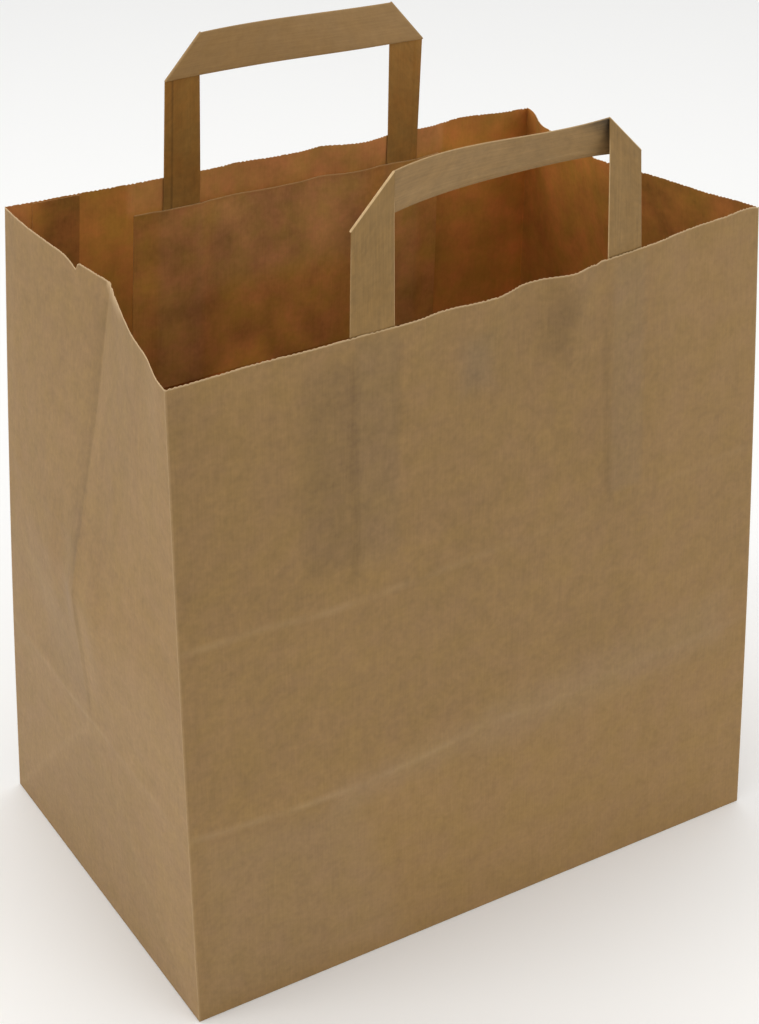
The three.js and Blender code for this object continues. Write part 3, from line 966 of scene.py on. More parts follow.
    def material(self) -> bpy.types.Material:
        """Makes the paper's material.

        Returns:
            The material.
        """
        made = bpy.data.materials.new(self.name)
        made.use_nodes = True
        tree = made.node_tree
        tree.nodes.clear()
        flat = add_node(tree, "ShaderNodeUVMap", uv_map=BLANK_MAP).outputs[0]
        lightness, height = self.pulp(tree, flat)
        distance = self.relief_mm * MM / self.streak
        bumped = {"Strength": self.relief_strength, "Distance": distance, "Height": height}
        matt = {0: lightness, 1: -self.dark_roughness, 2: self.roughness + self.dark_roughness}
        inputs = {
            "Base Color": self.colour(tree, flat, lightness),
            "Roughness": add_node(tree, "ShaderNodeMath", matt, operation="MULTIPLY_ADD").outputs[0],
            "IOR": self.ior,
            "Specular IOR Level": self.gloss,
            "Normal": add_node(tree, "ShaderNodeBump", bumped).outputs[0],
        }
        surface = add_node(tree, "ShaderNodeBsdfPrincipled", inputs)
        add_node(tree, "ShaderNodeOutputMaterial", {"Surface": surface.outputs[0]})
        return made


# The sheet's outer face: a dull olive brown and a pinkish one, with faint upright streaks
OUTSIDE = KraftFinish("kraft_outside", "#856738", "#86673d", "#b39871", Side.OUTER, GrainRun.UPWARDS)

# Its inner face: painted warmer and blotched, for the light that comes through the single sheet
INSIDE = KraftFinish(
    "kraft_inside", "#a1722e", "#ae6f35", "#c9a06a", Side.INNER, GrainRun.UPWARDS,
    cloud=0.36, streak=0.10, blotch=0.38, cloud_mm=14.0, blotch_mm=38.0, gloss=0.2,
)

# Its cut edge: bare pale fibres
CUT_EDGE = KraftFinish("kraft_cut_edge", "#c3a273", "#c9a87c", "#c9a87c", Side.OUTER, GrainRun.UPWARDS)

# The handles' tape: darker, and streaked along its run
TAPE = KraftFinish(
    "kraft_tape", "#7c6037", "#7d623b", "#cdae80", Side.OUTER, GrainRun.ALONG, cloud=0.24, streak=0.28
)

# The legs' inner faces: the same tape, painted warmer for the light from inside the bag
TAPE_INSIDE = KraftFinish(
    "kraft_tape_inside", "#93662c", "#8f6931", "#b08c5c", Side.INNER, GrainRun.ALONG, cloud=0.28, gloss=0.25
)

# The patches' thinner paper: painted as warm and blotched as the sheet's inner face, and lighter
PATCH = replace(INSIDE, name="kraft_patch", paper="#b08139", second_paper="#bb7d43")


@dataclass
class PaperRow:
    """One row of points all the way round the bag: each one's wall, place, height and count of half teeth."""

    points: np.ndarray
    panel: np.ndarray
    place: np.ndarray
    height: np.ndarray
    teeth: np.ndarray

    def on(self, panel: Panel) -> "PaperRow":
        """The part of the row that lies on one wall."""
        here = self.panel == panel.value
        return PaperRow(*(values[here] for values in vars(self).values()))


@dataclass
class BagBody:
    """The bag itself: one folded sheet with a toothed rim, a lapped seam and a glued block bottom."""

    walls: PaperWalls
    tears: tuple[Tear, ...] = RIM_TEARS
    thickness: float = 0.2
    floor_low: float = 0.24
    foot_row: float = 1.2
    sharp_deg: float = 38.0
    # The rim's teeth and the sheet's fine cockles
    tooth_pitch: float = 1.8
    tooth_depth: float = 0.24
    tooth_wear: float = 0.37
    tooth_wear_detail: float = 4.0
    tooth_wear_span: tuple[float, float] = (0.3, 0.7)
    deepest_tooth: float = 4.0
    cockle_height: float = 0.03
    cockle_size: float = 6.0
    # Rows and columns of faces
    rim_rows: tuple[float, ...] = (2.0, 0.8, 0.0)
    strip_below: float = 4.5
    row_step: float = 3.2
    column_teeth: int = 2
    tear_reach: float = 14.0
    # The long seam
    seam_offset: float = 11.0
    seam_lap: float = 20.0
    seam_foot: float = 3.0
    seam_below_rim: float = 0.7
    seam_gap: float = 0.05
    seam_thinning: float = 0.7
    # The painted shade over the lap, and how far it fades
    seam_painted_shade: float = -0.36
    seam_soft: float = 6.0
    # The glued bottom
    bottom_lap: float = 30.0
    bottom_inset: float = 0.3
    bottom_thinning: float = 0.95
    flap_tones: tuple[float, float] = (0.05, -0.07)
    tuck_tone: float = 0.08
    # Worn creases, folds and torn fibres
    break_size: float = 11.0
    break_mean: float = 0.7
    break_spread: float = 0.9
    fold_wear: float = 0.3
    fold_wear_reach: float = 0.9
    tuck_wear: float = 0.1
    tuck_wear_reach: float = 1.6
    torn_stretch: tuple[float, float] = (86.0, 118.0)
    torn_start: float = 1.0
    torn_wear: float = 0.95
    torn_reach: float = 3.2

    def half_teeth(self, panel: Panel) -> int:
        """How many half teeth the cutter left along a wall's rim."""
        return 2 * round(panel.width / self.tooth_pitch)

    def columns(self, panel: Panel) -> list[int]:
        """Where a wall's columns of faces stand.

        Args:
            panel: The wall.

        Returns:
            Counts of half teeth along it, rising, with some close by its folds and a gusset's middle.
        """
        count = self.half_teeth(panel)
        kept = {0, 1, count - 1, *range(0, count, self.column_teeth)}
        if not panel.is_broad:
            kept |= {count // 2 - 1, count // 2, count // 2 + 1}
        return sorted(kept)

    def paper_height(self, panel: Panel, place: np.ndarray, height: float) -> np.ndarray:
        """Heights on the paper of a row's points, which follow the creases and the torn rim.

        Args:
            panel: The wall.
            place: Places along it.
            height: The row's nominal height.

        Returns:
            A height for each place.
        """
        level = np.full(place.shape, height)
        moved = level.copy()
        for ring in self.walls.rings:
            moved += ring.shift(place + panel.girth, level)
        near_rim = ramp(level, HEIGHT - self.tear_reach, HEIGHT)
        for tear in self.tears:
            if tear.panel is panel:
                moved -= tear.drop(place) * near_rim
        return moved

    def row(self, height: float, is_fine: bool) -> PaperRow:
        """One row of points all the way round the bag.

        Args:
            height: Its nominal height on the paper.
            is_fine: Whether it has a point for each half tooth.

        Returns:
            The row.
        """
        parts = []
        start = 0
        for panel in Panel:
            count = self.half_teeth(panel)
            steps = np.arange(count) if is_fine else np.array(self.columns(panel))
            place = steps * panel.width / count
            heights = self.paper_height(panel, place, height)
            wall = np.full(place.shape, panel.value)
            parts.append((self.walls.face(panel, place, heights), wall, place, heights, steps + start))
            start += count
        return PaperRow(*(np.concatenate(values) for values in zip(*parts)))

    def rows(self) -> list[PaperRow]:
        """The rows of points from the foot up to the rim.

        Returns:
            The rows, of which the ones near the rim have a point for each half tooth.
        """
        knots = [self.floor_low, self.foot_row]
        for ring in self.walls.rings:
            knots += ring.rows()
        heights = divide([*knots, HEIGHT - self.strip_below], self.row_step)
        rows = [self.row(height, False) for height in heights]
        return rows + [self.row(HEIGHT - below, True) for below in self.rim_rows]

    def faces(self, rows: list[PaperRow]) -> list[list[int]]:
        """The faces between the rows, and the floor.

        Args:
            rows: The rows of points, rising.

        Returns:
            Each face's points, with the floor last.
        """
        starts = np.cumsum([0] + [len(row.teeth) for row in rows])
        total = sum(self.half_teeth(panel) for panel in Panel)
        faces = []
        for low, high in zip(range(len(rows)), range(1, len(rows))):
            place_of = {int(count): int(starts[high] + i) for i, count in enumerate(rows[high].teeth)}
            counts = [int(count) for count in rows[low].teeth]
            for i, count in enumerate(counts):
                after = counts[i + 1] if i + 1 < len(counts) else total
                upper = [place_of[c % total] for c in range(after, count - 1, -1) if c % total in place_of]
                faces.append([int(starts[low] + i), int(starts[low] + (i + 1) % len(counts)), *upper])
        faces.append(list(range(len(rows[0].teeth)))[::-1])
        return faces

    def sheet_mesh(self) -> bpy.types.Mesh:
        """The walls and the floor as a sheet.

        Returns:
            A mesh with no thickness, with its flat places, its marks and its wear.
        """
        rows = self.rows()
        mesh = bpy.data.meshes.new("walls")
        points = np.concatenate([row.points for row in rows])
        mesh.from_pydata((points * MM).tolist(), [], self.faces(rows))
        self.add_blank(mesh, rows)
        self.add_traces(mesh, rows)
        return mesh

    def add_blank(self, mesh: bpy.types.Mesh, rows: list[PaperRow]) -> None:
        """Writes each face corner's place on the flat blank.

        Args:
            mesh: The walls' sheet, whose last face is the floor.
            rows: The rows of its points.
        """
        starts = np.array([panel.girth for panel in Panel])
        u = np.concatenate([row.place + starts[row.panel] for row in rows])
        v = np.concatenate([row.height for row in rows])
        layer = mesh.uv_layers.new(name=BLANK_MAP)
        for face in mesh.polygons[:-1]:
            corner_u = u[list(face.vertices)]
            wraps = corner_u.max() - corner_u.min() > GIRTH / 2
            for loop, vertex in zip(face.loop_indices, face.vertices):
                around = GIRTH if wraps and u[vertex] < GIRTH / 2 else 0.0
                layer.data[loop].uv = ((u[vertex] + around) * MM, v[vertex] * MM)
        for loop, vertex in zip(mesh.polygons[-1].loop_indices, mesh.polygons[-1].vertices):
            layer.data[loop].uv = mesh.vertices[vertex].co.xy

    def wear(self, panel: Panel, row: PaperRow, below_rim: float) -> np.ndarray:
        """How worn a row's paper is along one wall.

        Args:
            panel: The wall.
            row: The row's points on that wall.
            below_rim: How far below the rim the row lies.

        Returns:
            One for bare pale fibres, and nothing for whole paper.
        """
        u = row.place + panel.girth
        worn = np.full(row.place.shape, float(below_rim == 0.0))
        if panel is Panel.LEFT:
            first, last = self.torn_stretch
            torn = ramp(row.place, first - self.torn_start, first)
            torn = torn * ramp(row.place, last, (first + last) / 2)
            worn = np.maximum(worn, self.torn_wear * torn * ridge(np.array(below_rim), self.torn_reach))
        for ring in self.walls.rings:
            broken = paper_noise(u, row.height, self.break_size, self.walls.seed + ring.height)
            broken = self.break_mean + self.break_spread * broken
            worn = np.maximum(worn, ring.worn(u, row.height) * np.clip(broken, 0.0, 1.0))
        edge = np.minimum(row.place, panel.width - row.place)
        worn = np.maximum(worn, self.fold_wear * ridge(edge, self.fold_wear_reach))
        if not panel.is_broad:
            aside = (row.height - edge) * DIAGONAL
            line = ridge(aside, self.tuck_wear_reach) * (row.height < LOW_CREASE)
            worn = np.maximum(worn, self.tuck_wear * line)
        return worn

    def add_traces(self, mesh: bpy.types.Mesh, rows: list[PaperRow]) -> None:
        """Counts the teeth on the walls' sheet, and writes its marks and its wear.

        Args:
            mesh: The walls' sheet.
            rows: The rows of its points.
        """
        outer, inner, worn = [], [], []
        for number, row in enumerate(rows):
            from_top = len(rows) - 1 - number
            below_rim = self.rim_rows[::-1][from_top] if from_top < len(self.rim_rows) else self.strip_below
            for panel in Panel:
                part = row.on(panel)
                # Stains and painted light and shade on the outer faces, painted light and shade on the inner
                # ones
                outer.append(marked(OUTER_STAINS_AND_PAINTED_LIGHT, panel, part.place, part.height))
                inner.append(marked(INNER_PAINTED_LIGHT, panel, part.place, part.height))
                worn.append(self.wear(panel, part, below_rim))
        for side, marks in ((Side.OUTER, outer), (Side.INNER, inner)):
            stain_and_painted_light(mesh, side, *np.concatenate(marks, axis=1))
        paint(mesh, Side.OUTER, Trace.WORN, np.concatenate(worn))
        teeth = np.concatenate([row.teeth for row in rows]) / 2.0
        is_rim = np.concatenate([np.full(len(row.teeth), float(row is rows[-1])) for row in rows])
        for name, values in (("teeth", teeth), ("rim", is_rim)):
            layer = mesh.attributes.new(name, "FLOAT", "POINT")
            layer.data.foreach_set("value", values.astype(np.float32))

    def cut_teeth(self, tree: bpy.types.NodeTree, asked: bpy.types.NodeOutputs) -> Socket:
        """Adds the nodes that cut the rim to teeth, each worn by an amount of its own.

        Args:
            tree: The rim's nodes.
            asked: The tree's own inputs.

        Returns:
            A socket with the cut sheet.
        """
        half_tooth = 0.5
        low, high = self.tooth_wear_span
        teeth = add_node(tree, "GeometryNodeInputNamedAttribute", {"Name": "teeth"}, data_type="FLOAT")
        rim = add_node(tree, "GeometryNodeInputNamedAttribute", {"Name": "rim"}, data_type="FLOAT")
        wave = {0: teeth.outputs[0], 1: half_tooth}
        cut = add_node(tree, "ShaderNodeMath", wave, operation="PINGPONG").outputs[0]
        worn = {"W": teeth.outputs[0], "Scale": asked["Wear of teeth"], "Detail": self.tooth_wear_detail}
        worn = add_node(tree, "ShaderNodeTexNoise", worn, noise_dimensions="1D").outputs[0]
        span = {"From Min": low, "From Max": high, "To Min": 0.0, "To Max": -self.deepest_tooth}
        depth = add_node(tree, "ShaderNodeMapRange", {"Value": worn, **span}).outputs[0]
        for factor in (depth, asked["Tooth depth"], rim.outputs[0]):
            cut = add_node(tree, "ShaderNodeMath", {0: cut, 1: factor}, operation="MULTIPLY").outputs[0]
        down = add_node(tree, "ShaderNodeCombineXYZ", {"Z": cut}).outputs[0]
        moved = {"Geometry": asked["Sheet"], "Offset": down}
        return add_node(tree, "GeometryNodeSetPosition", moved).outputs[0]

    def cockle(self, tree: bpy.types.NodeTree, asked: bpy.types.NodeOutputs, flat: Socket) -> Socket:
        """Adds the nodes that cockle the sheet a little.

        Args:
            tree: The rim's nodes.
            asked: The tree's own inputs.
            flat: A socket with the sheet.

        Returns:
            A socket with the cockled sheet.
        """
        scale = {0: 1.0, 1: asked["Cockle size"]}
        scale = add_node(tree, "ShaderNodeMath", scale, operation="DIVIDE").outputs[0]
        bumps = {"W": asked["Seed"], "Scale": scale}
        bumps = add_node(tree, "ShaderNodeTexNoise", bumps, noise_dimensions="4D").outputs[0]
        bumps = {0: bumps, 1: NOISE_MEAN}
        bumps = add_node(tree, "ShaderNodeMath", bumps, operation="SUBTRACT").outputs[0]
        bumps = {0: bumps, 1: asked["Cockle height"]}
        bumps = add_node(tree, "ShaderNodeMath", bumps, operation="MULTIPLY").outputs[0]
        push = {0: add_node(tree, "GeometryNodeInputNormal").outputs[0], "Scale": bumps}
        push = add_node(tree, "ShaderNodeVectorMath", push, operation="SCALE").outputs[0]
        return add_node(tree, "GeometryNodeSetPosition", {"Geometry": flat, "Offset": push}).outputs[0]

    def toothed(self, mesh: bpy.types.Mesh, material: bpy.types.Material) -> bpy.types.Mesh:
        """Cuts the rim to teeth and cockles the sheet a little, with geometry nodes.

        Args:
            mesh: The walls' sheet, with its teeth counted.
            material: The finish of its outer face.

        Returns:
            The cut sheet.
        """
        tree = bpy.data.node_groups.new("toothed_rim", "GeometryNodeTree")
        inputs = (
            ("Sheet", "NodeSocketGeometry", None),
            ("Tooth depth", "NodeSocketFloat", self.tooth_depth * MM),
            ("Wear of teeth", "NodeSocketFloat", self.tooth_wear),
            ("Cockle height", "NodeSocketFloat", self.cockle_height * MM),
            ("Cockle size", "NodeSocketFloat", self.cockle_size * MM),
            ("Seed", "NodeSocketFloat", self.walls.seed),
            ("Material", "NodeSocketMaterial", material),
        )
        sockets = []
        for name, kind, _ in inputs:
            sockets.append(tree.interface.new_socket(name, in_out="INPUT", socket_type=kind))
        tree.interface.new_socket("Sheet", in_out="OUTPUT", socket_type="NodeSocketGeometry")
        asked = add_node(tree, "NodeGroupInput").outputs
        cockled = self.cockle(tree, asked, self.cut_teeth(tree, asked))
        real = add_node(tree, "GeometryNodeRealizeInstances", {0: cockled})
        dressed = {"Geometry": real.outputs[0], "Material": asked["Material"]}
        dressed = add_node(tree, "GeometryNodeSetMaterial", dressed)
        add_node(tree, "NodeGroupOutput", {0: dressed.outputs[0]})
        host = hosted("toothing", mesh)
        modifier = host.modifiers.new("teeth", "NODES")
        modifier.node_group = tree
        for socket, (_, _, value) in zip(sockets, inputs):
            if value is not None:
                modifier[socket.identifier] = value
        return plain_mesh(host)

    def seam(self, materials: list[bpy.types.Material]) -> bpy.types.Mesh:
        """The inner ply of the long seam, lapped inside the back wall, with painted shade over its inner
        face.

        Args:
            materials: The outer face's, the inner face's and the cut edges' finish.

        Returns:
            The mesh.
        """
        end = WIDTH - self.seam_offset
        places = divide([end - self.seam_lap, end], self.row_step)
        knots = [self.seam_foot, LOW_CREASE, HIGH_CREASE, HEIGHT - self.seam_below_rim]
        place, height = np.meshgrid(places, divide(knots, self.row_step))
        points = self.walls.face(Panel.BACK, place, height, self.thickness + self.seam_gap)
        ply = sheet(points, np.stack([place + Panel.BACK.girth, height], axis=-1))
        tone, grey = marked(INNER_PAINTED_LIGHT, Panel.BACK, place, height)
        # Painted shade over the lap, where less light comes through the doubled paper, fading out at its end
        shade = self.seam_painted_shade * swell(place, end, end - self.seam_soft)
        stain_and_painted_light(ply, Side.INNER, tone + shade, grey)
        return thickened(ply, self.thickness * self.seam_thinning, materials)

    def bottom(self) -> list[bpy.types.Mesh]:
        """The glued bottom's plies.

        Returns:
            Two flaps folded over below, and two side tucks inside.
        """
        half_x, half_y = WIDTH / 2 - self.bottom_inset, DEPTH / 2 - self.bottom_inset
        reach = (DEPTH + self.bottom_lap) / 2
        tip = half_x - reach
        ply = self.floor_low / 2
        floor_high = self.floor_low + self.thickness
        plies = []
        for side, low, tone in zip((-1, 1), (0.0, ply), self.flap_tones):
            edges = [(-side * half_x, side * half_y), (side * half_x, side * half_y)]
            tips = [(side * tip, side * (half_y - reach)), (-side * tip, side * (half_y - reach))]
            plies.append(self.ply([*edges, *tips], low, low + ply * self.bottom_thinning, tone))
        for side in (-1, 1):
            edges = [(side * half_x, -side * half_y), (side * half_x, side * half_y)]
            tips = [(side * tip, side * half_y), (side * tip, -side * half_y)]
            plies.append(self.ply([*edges, *tips], floor_high, floor_high + ply, self.tuck_tone))
        return plies

    def ply(
        self, outline: list[tuple[float, float]], low: float, high: float, tone: float
    ) -> bpy.types.Mesh:
        """A flat ply of the bottom, as a closed mesh.

        Args:
            outline: Its corners, counter-clockwise from above.
            low: Its lower face's height.
            high: Its upper face's height.
            tone: How much lighter it is than the sheet.

        Returns:
            The mesh, with its place on the flat paper.
        """
        count = len(outline)
        points = [(x * MM, y * MM, z * MM) for z in (low, high) for x, y in outline]
        sides = [[i, (i + 1) % count, count + (i + 1) % count, count + i] for i in range(count)]
        faces = [list(range(count))[::-1], list(range(count, 2 * count)), *sides]
        mesh = bpy.data.meshes.new("ply")
        mesh.from_pydata(points, [], faces)
        lay_flat(mesh, np.array([*outline, *outline]))
        mesh.polygons.foreach_set("material_index", [0, 1] + [2] * count)
        for side in Side:
            paint(mesh, side, Trace.TONE, np.full(2 * count, tone))
        return mesh

    def build(self, materials: list[bpy.types.Material]) -> bpy.types.Object:
        """Builds the bag's body.

        Args:
            materials: The outer face's, the inner face's and the cut edges' finish.

        Returns:
            The dressed piece.
        """
        cut = self.toothed(self.sheet_mesh(), materials[0])
        walls = thickened(cut, self.thickness, materials)
        plies = [self.seam(materials), *self.bottom()]
        return joined("bag_paper", [walls, *plies], materials, self.sharp_deg)


@dataclass(frozen=True)
class LegStance:
    """How a handle's leg stands above the rim: its top's sway and lean, its turn, and its fold's opening."""

    sway: float
    lean: float
    turn_deg: float
    fold_opening_deg: float


@dataclass(frozen=True)
class TapeRun:
    """The tape from foot to foot: rows of its two edges, and each row's share of the bar and of a fold."""

    edges: np.ndarray
    bar: np.ndarray
    fold: np.ndarray


@dataclass
class TapeHandle:
    """A flat paper-tape handle, folded over at forty-five degrees in both upper corners."""

    walls: PaperWalls
    panel: Panel
    shift: float
    first: LegStance
    second: LegStance
    # The tape and its run
    tape_width: float = 17.0
    thickness: float = 0.42
    width: float = 128.0
    rise: float = 39.0
    leg_reach: float = 86.0
    gap_to_wall: float = 0.42
    # The tape's cross-section
    lap_width: float = 3.6
    lap_step: float = 0.14
    edge_round: float = 0.45
    edge_thinning: float = 0.75
    face_points: int = 6
    back_points: int = 5
    # The rows of points, the folds and the crossbar's roll
    step: float = 4.0
    fold_steps: int = 6
    fold_margin: float = 0.7
    fold_round: float = 0.62
    bar_roll_deg: float = 0.0
    roll_skew: float = 1.6
    even_stretch: tuple[float, float] = (0.14, 0.7)
    sharp_deg: float = 50.0
    # Its wear and greyness, and its painted light and shade: a lighter crossbar, shade low on the legs' inner
    # faces, and shadows along the lap and in the cleft
    fold_wear: float = 0.75
    edge_wear: tuple[float, float] = (0.2, 0.6)
    bar_painted_light: float = 0.0
    leg_grey: float = -0.08
    low_leg_painted_shade: float = -0.08
    lap_painted_shadow: float = -0.32
    cleft_painted_shadow: float = 0.0
    cleft_reach: float = 4.5
    bar_end_rows: int = 3

    def leg_starts(self) -> list[float]:
        """Where along the wall the two legs start."""
        centre = WIDTH / 2 + self.shift
        return [centre - self.width / 2, centre + self.width / 2 - self.tape_width]

    def leg(self, is_first: bool) -> np.ndarray:
        """A leg's two edges, from its foot up to its mitred fold.

        Args:
            is_first: Whether it is the leg nearer the wall's first fold.

        Returns:
            Rows of an edge towards the first fold and one towards the second.
        """
        stance = self.first if is_first else self.second
        start = self.leg_starts()[0 if is_first else 1]
        heights = divide([HEIGHT - self.leg_reach, HEIGHT], self.step)
        place, height = np.meshgrid([start, start + self.tape_width], heights)
        rows = list(self.walls.face(self.panel, place, height, self.gap_to_wall + self.thickness / 2))
        along = unit(rows[-1][1] - rows[-1][0])
        outward = unit(np.cross(along, UP))
        middle = rows[-1].mean(axis=0)
        sway, lean = stance.sway / self.rise, stance.lean / self.rise
        rise = along * sway + outward * lean + UP * math.sqrt(1 - sway**2 - lean**2)
        tops = (self.rise, self.rise + self.tape_width)
        tops = tops if is_first else tops[::-1]
        for share in divide([0.0, 1.0 - self.fold_margin / self.rise, 1.0], self.step / self.rise)[1:]:
            edges = []
            for top, side in zip(tops, (-0.5, 0.5)):
                turn = math.radians(stance.turn_deg) * min(1.0, share * top / self.rise)
                facing = along * math.cos(turn) + outward * math.sin(turn)
                edges.append(middle + rise * share * top + facing * side * self.tape_width)
            rows.append(np.array(edges))
        return np.array(rows)

    def fold_over(self, leg: np.ndarray, is_first: bool) -> tuple[np.ndarray, np.ndarray]:
        """The turn of the tape over a leg's mitred fold.

        Args:
            leg: The leg's rows.
            is_first: Whether it is the first leg.

        Returns:
            Rows round the fold, and the direction in which the crossbar leaves it.
        """
        stance = self.first if is_first else self.second
        side = 1 if is_first else -1
        upward = unit(leg[-1][0] - leg[-2][0])
        across = unit(leg[-2][1] - leg[-2][0])
        facing = unit(across - upward * float(across @ upward))
        normal = np.cross(facing, upward)
        opening = math.radians(stance.fold_opening_deg)
        fold_line = (facing * side + upward) * DIAGONAL
        in_fold = (facing * side - upward) * DIAGONAL
        run = (fold_line + in_fold * math.cos(opening) - normal * math.sin(opening)) * DIAGONAL
        radius = self.thickness * self.fold_round
        rows = []
        for i in range(1, self.fold_steps + 1):
            turn = (math.pi - opening) * i / self.fold_steps
            rows.append(leg[-1] - in_fold * radius * math.sin(turn) - normal * radius * (1 - math.cos(turn)))
        return np.array(rows), run

    def run(self) -> TapeRun:
        """The tape from the first leg's foot to the second's.

        Returns:
            Its rows, in that order.
        """
        legs = [self.leg(True), self.leg(False)]
        turned, leaving = self.fold_over(legs[0], True)
        last_turned, arriving = self.fold_over(legs[1], False)
        first_end, last_end = turned[-1], last_turned[-1][::-1]
        third = np.linalg.norm(last_end - first_end, axis=-1, keepdims=True) / 3
        leave, arrive = first_end + leaving * third, last_end + arriving * third
        margin = self.fold_margin / self.width
        times = divide([0.0, margin, 1.0 - margin, 1.0], self.step / self.width)
        t = times[:, None, None]
        bar = first_end * (1 - t) ** 3 + leave * 3 * t * (1 - t) ** 2
        bar = bar + arrive * 3 * t * t * (1 - t) + last_end * t**3
        bar = self.rolled(bar, times)[1:-1]
        back_turned = last_turned[::-1, ::-1]
        back_leg = legs[1][::-1, ::-1]
        over = np.linspace(0.0, 1.0, self.fold_steps)
        parts = (
            (legs[0], np.zeros(len(legs[0])), 0.0),
            (turned, over, 1.0),
            (bar, np.ones(len(bar)), 0.0),
            (back_turned, over[::-1], 1.0),
            (back_leg, np.zeros(len(back_leg)), 0.0),
        )
        edges = np.concatenate([rows for rows, _, _ in parts])
        bar_share = np.concatenate([share for _, share, _ in parts])
        fold_share = np.concatenate([np.full(len(rows), share) for rows, _, share in parts])
        return TapeRun(edges, bar_share, fold_share)

    def rolled(self, bar: np.ndarray, times: np.ndarray) -> np.ndarray:
        """Gives the crossbar the tape's even width away from its folds, and rolls it about its upper edge.

        Args:
            bar: Rows of its lower and its upper edge.
            times: How far along the crossbar each row lies, from nothing to one.

        Returns:
            The rolled rows.
        """
        run = unit(np.gradient(bar.mean(axis=1), axis=0))
        across = bar[:, 1] - bar[:, 0]
        along = run * (across * run).sum(axis=-1, keepdims=True)
        width = np.linalg.norm(across - along, axis=-1, keepdims=True)
        upward = (across - along) / width
        outward = np.cross(run, upward)
        first, last = self.even_stretch
        even = (swell(times, 0.0, first) * swell(times, 1.0, last))[:, None]
        roll = math.radians(self.bar_roll_deg) * np.sin(math.pi * times**self.roll_skew)[:, None]
        turned = upward * np.cos(roll) + outward * np.sin(roll)
        lower = bar[:, 1] - along - turned * (width + (self.tape_width - width) * even)
        return np.stack([lower, bar[:, 1]], axis=1)

    def profile(self) -> np.ndarray:
        """The tape's cross-section: rounded folded edges, and a lap on one face.

        Returns:
            Its points all the way round, as places across the tape and heights over its middle.
        """
        half, thick = self.tape_width / 2, self.thickness / 2
        lap = -half + self.lap_width
        low_lap = -thick - self.lap_step
        near, far = self.edge_round, self.edge_round / 3
        inset = 4 * self.edge_round
        thin = self.edge_thinning * thick
        face = [(-half + far, thin), (-half + near, thick)]
        face += [(x, thick) for x in np.linspace(-half + inset, half - inset, self.face_points)]
        face += [(half - near, thick), (half - far, thin)]
        back = [(half - far, -thin), (half - near, -thick)]
        back += [(x, -thick) for x in np.linspace(half - inset, lap + 2 * inset, self.back_points)]
        back += [(lap + 2 * near, -thick), (lap + far, -thick), (lap, low_lap), (lap - 2 * near, low_lap)]
        back += [(-half + near, low_lap), (-half + far, -thin)]
        return np.array([(-half, 0.0), *face, (half, 0.0), *back])

    def points(self, run: TapeRun, profile: np.ndarray) -> np.ndarray:
        """The tape's points.

        Args:
            run: The tape's rows.
            profile: Its cross-section.

        Returns:
            A cross-section of points for each row.
        """
        steps = unit(np.diff(run.edges.mean(axis=1), axis=0))
        tangents = unit(np.concatenate([steps[:1], steps[:-1] + steps[1:], steps[-1:]]))
        normals = unit(np.cross(unit(run.edges[:, 1] - run.edges[:, 0]), tangents))
        first, second = run.edges[:, None, 0], run.edges[:, None, 1]
        share = profile[:, 0] / self.tape_width + 0.5
        points = first + (second - first) * share[None, :, None]
        return points + normals[:, None] * profile[None, :, 1, None]

    def tube(self, name: str, points: np.ndarray) -> bpy.types.Mesh:
        """Closes the tape's points to a mesh.

        Args:
            name: The mesh's name.
            points: A cross-section of points for each row.

        Returns:
            A closed mesh.
        """
        rows, count = points.shape[:2]
        index = np.arange(rows * count).reshape(rows, count)
        around = np.roll(index, -1, axis=1)
        faces = np.stack([index[:-1], around[:-1], around[1:], index[1:]], axis=-1).reshape(-1, 4).tolist()
        faces += [index[0][::-1].tolist(), index[-1].tolist()]
        mesh = bpy.data.meshes.new(name)
        mesh.from_pydata((points.reshape(-1, 3) * MM).tolist(), [], faces)
        return mesh

    def add_traces(
        self, mesh: bpy.types.Mesh, points: np.ndarray, profile: np.ndarray, run: TapeRun
    ) -> None:
        """Writes the tape's wear and its tones: worn folds and edges, a painted lighter crossbar, painted
        shade low on the legs' inner faces, and painted shadows along the lap and in the cleft.

        Args:
            mesh: The handle's mesh.
            points: Its points, in rows of the cross-section.
            profile: The cross-section.
            run: The tape's rows.
        """
        aside = profile[:, 0]
        bar, legs = run.bar[:, None], (1 - run.bar)[:, None]
        edge = np.where(aside < 0, *self.edge_wear)
        edge = edge * ridge(self.tape_width / 2 - np.abs(aside), self.edge_round)
        lap_line = np.abs(aside + self.tape_width / 2 - self.lap_width) < self.edge_round
        height = points[..., 2].mean(axis=1)
        lit = swell(height, HEIGHT - self.tape_width, HEIGHT + self.rise)
        last_bar = np.nonzero(run.bar)[0][-1]
        onward = unit(points[last_bar].mean(axis=0) - points[last_bar - self.bar_end_rows].mean(axis=0))
        before_leg = (points - points[last_bar, aside.argmax()]) @ onward
        # Painted shadow in the cleft by the crossbar's end at the second fold
        cleft = self.cleft_painted_shadow * swell(before_leg, -self.cleft_reach, 0.0)
        cleft = cleft * bar * (profile[:, 1] <= 0)
        grey = self.leg_grey * legs * np.ones(len(profile))
        # The crossbar takes painted light, and the cleft painted shadow
        stain_and_painted_light(mesh, Side.OUTER, self.bar_painted_light * bar + cleft, grey)
        after_bar = (np.arange(len(run.bar)) > last_bar)[:, None]
        # Painted shade low on the legs' inner faces, and a painted shadow along the second leg's lap
        inner_painted_shade = self.low_leg_painted_shade * (1 - lit)[:, None] + self.lap_painted_shadow * lap_line * after_bar
        paint(mesh, Side.INNER, Trace.TONE, inner_painted_shade * legs)
        crossed = swell(height, HEIGHT + self.rise - self.step, HEIGHT + self.rise)[:, None] * legs
        worn = np.maximum(self.fold_wear * run.fold[:, None], edge[None, :] * (1 - crossed))
        for side in Side:
            paint(mesh, side, Trace.WORN, worn)

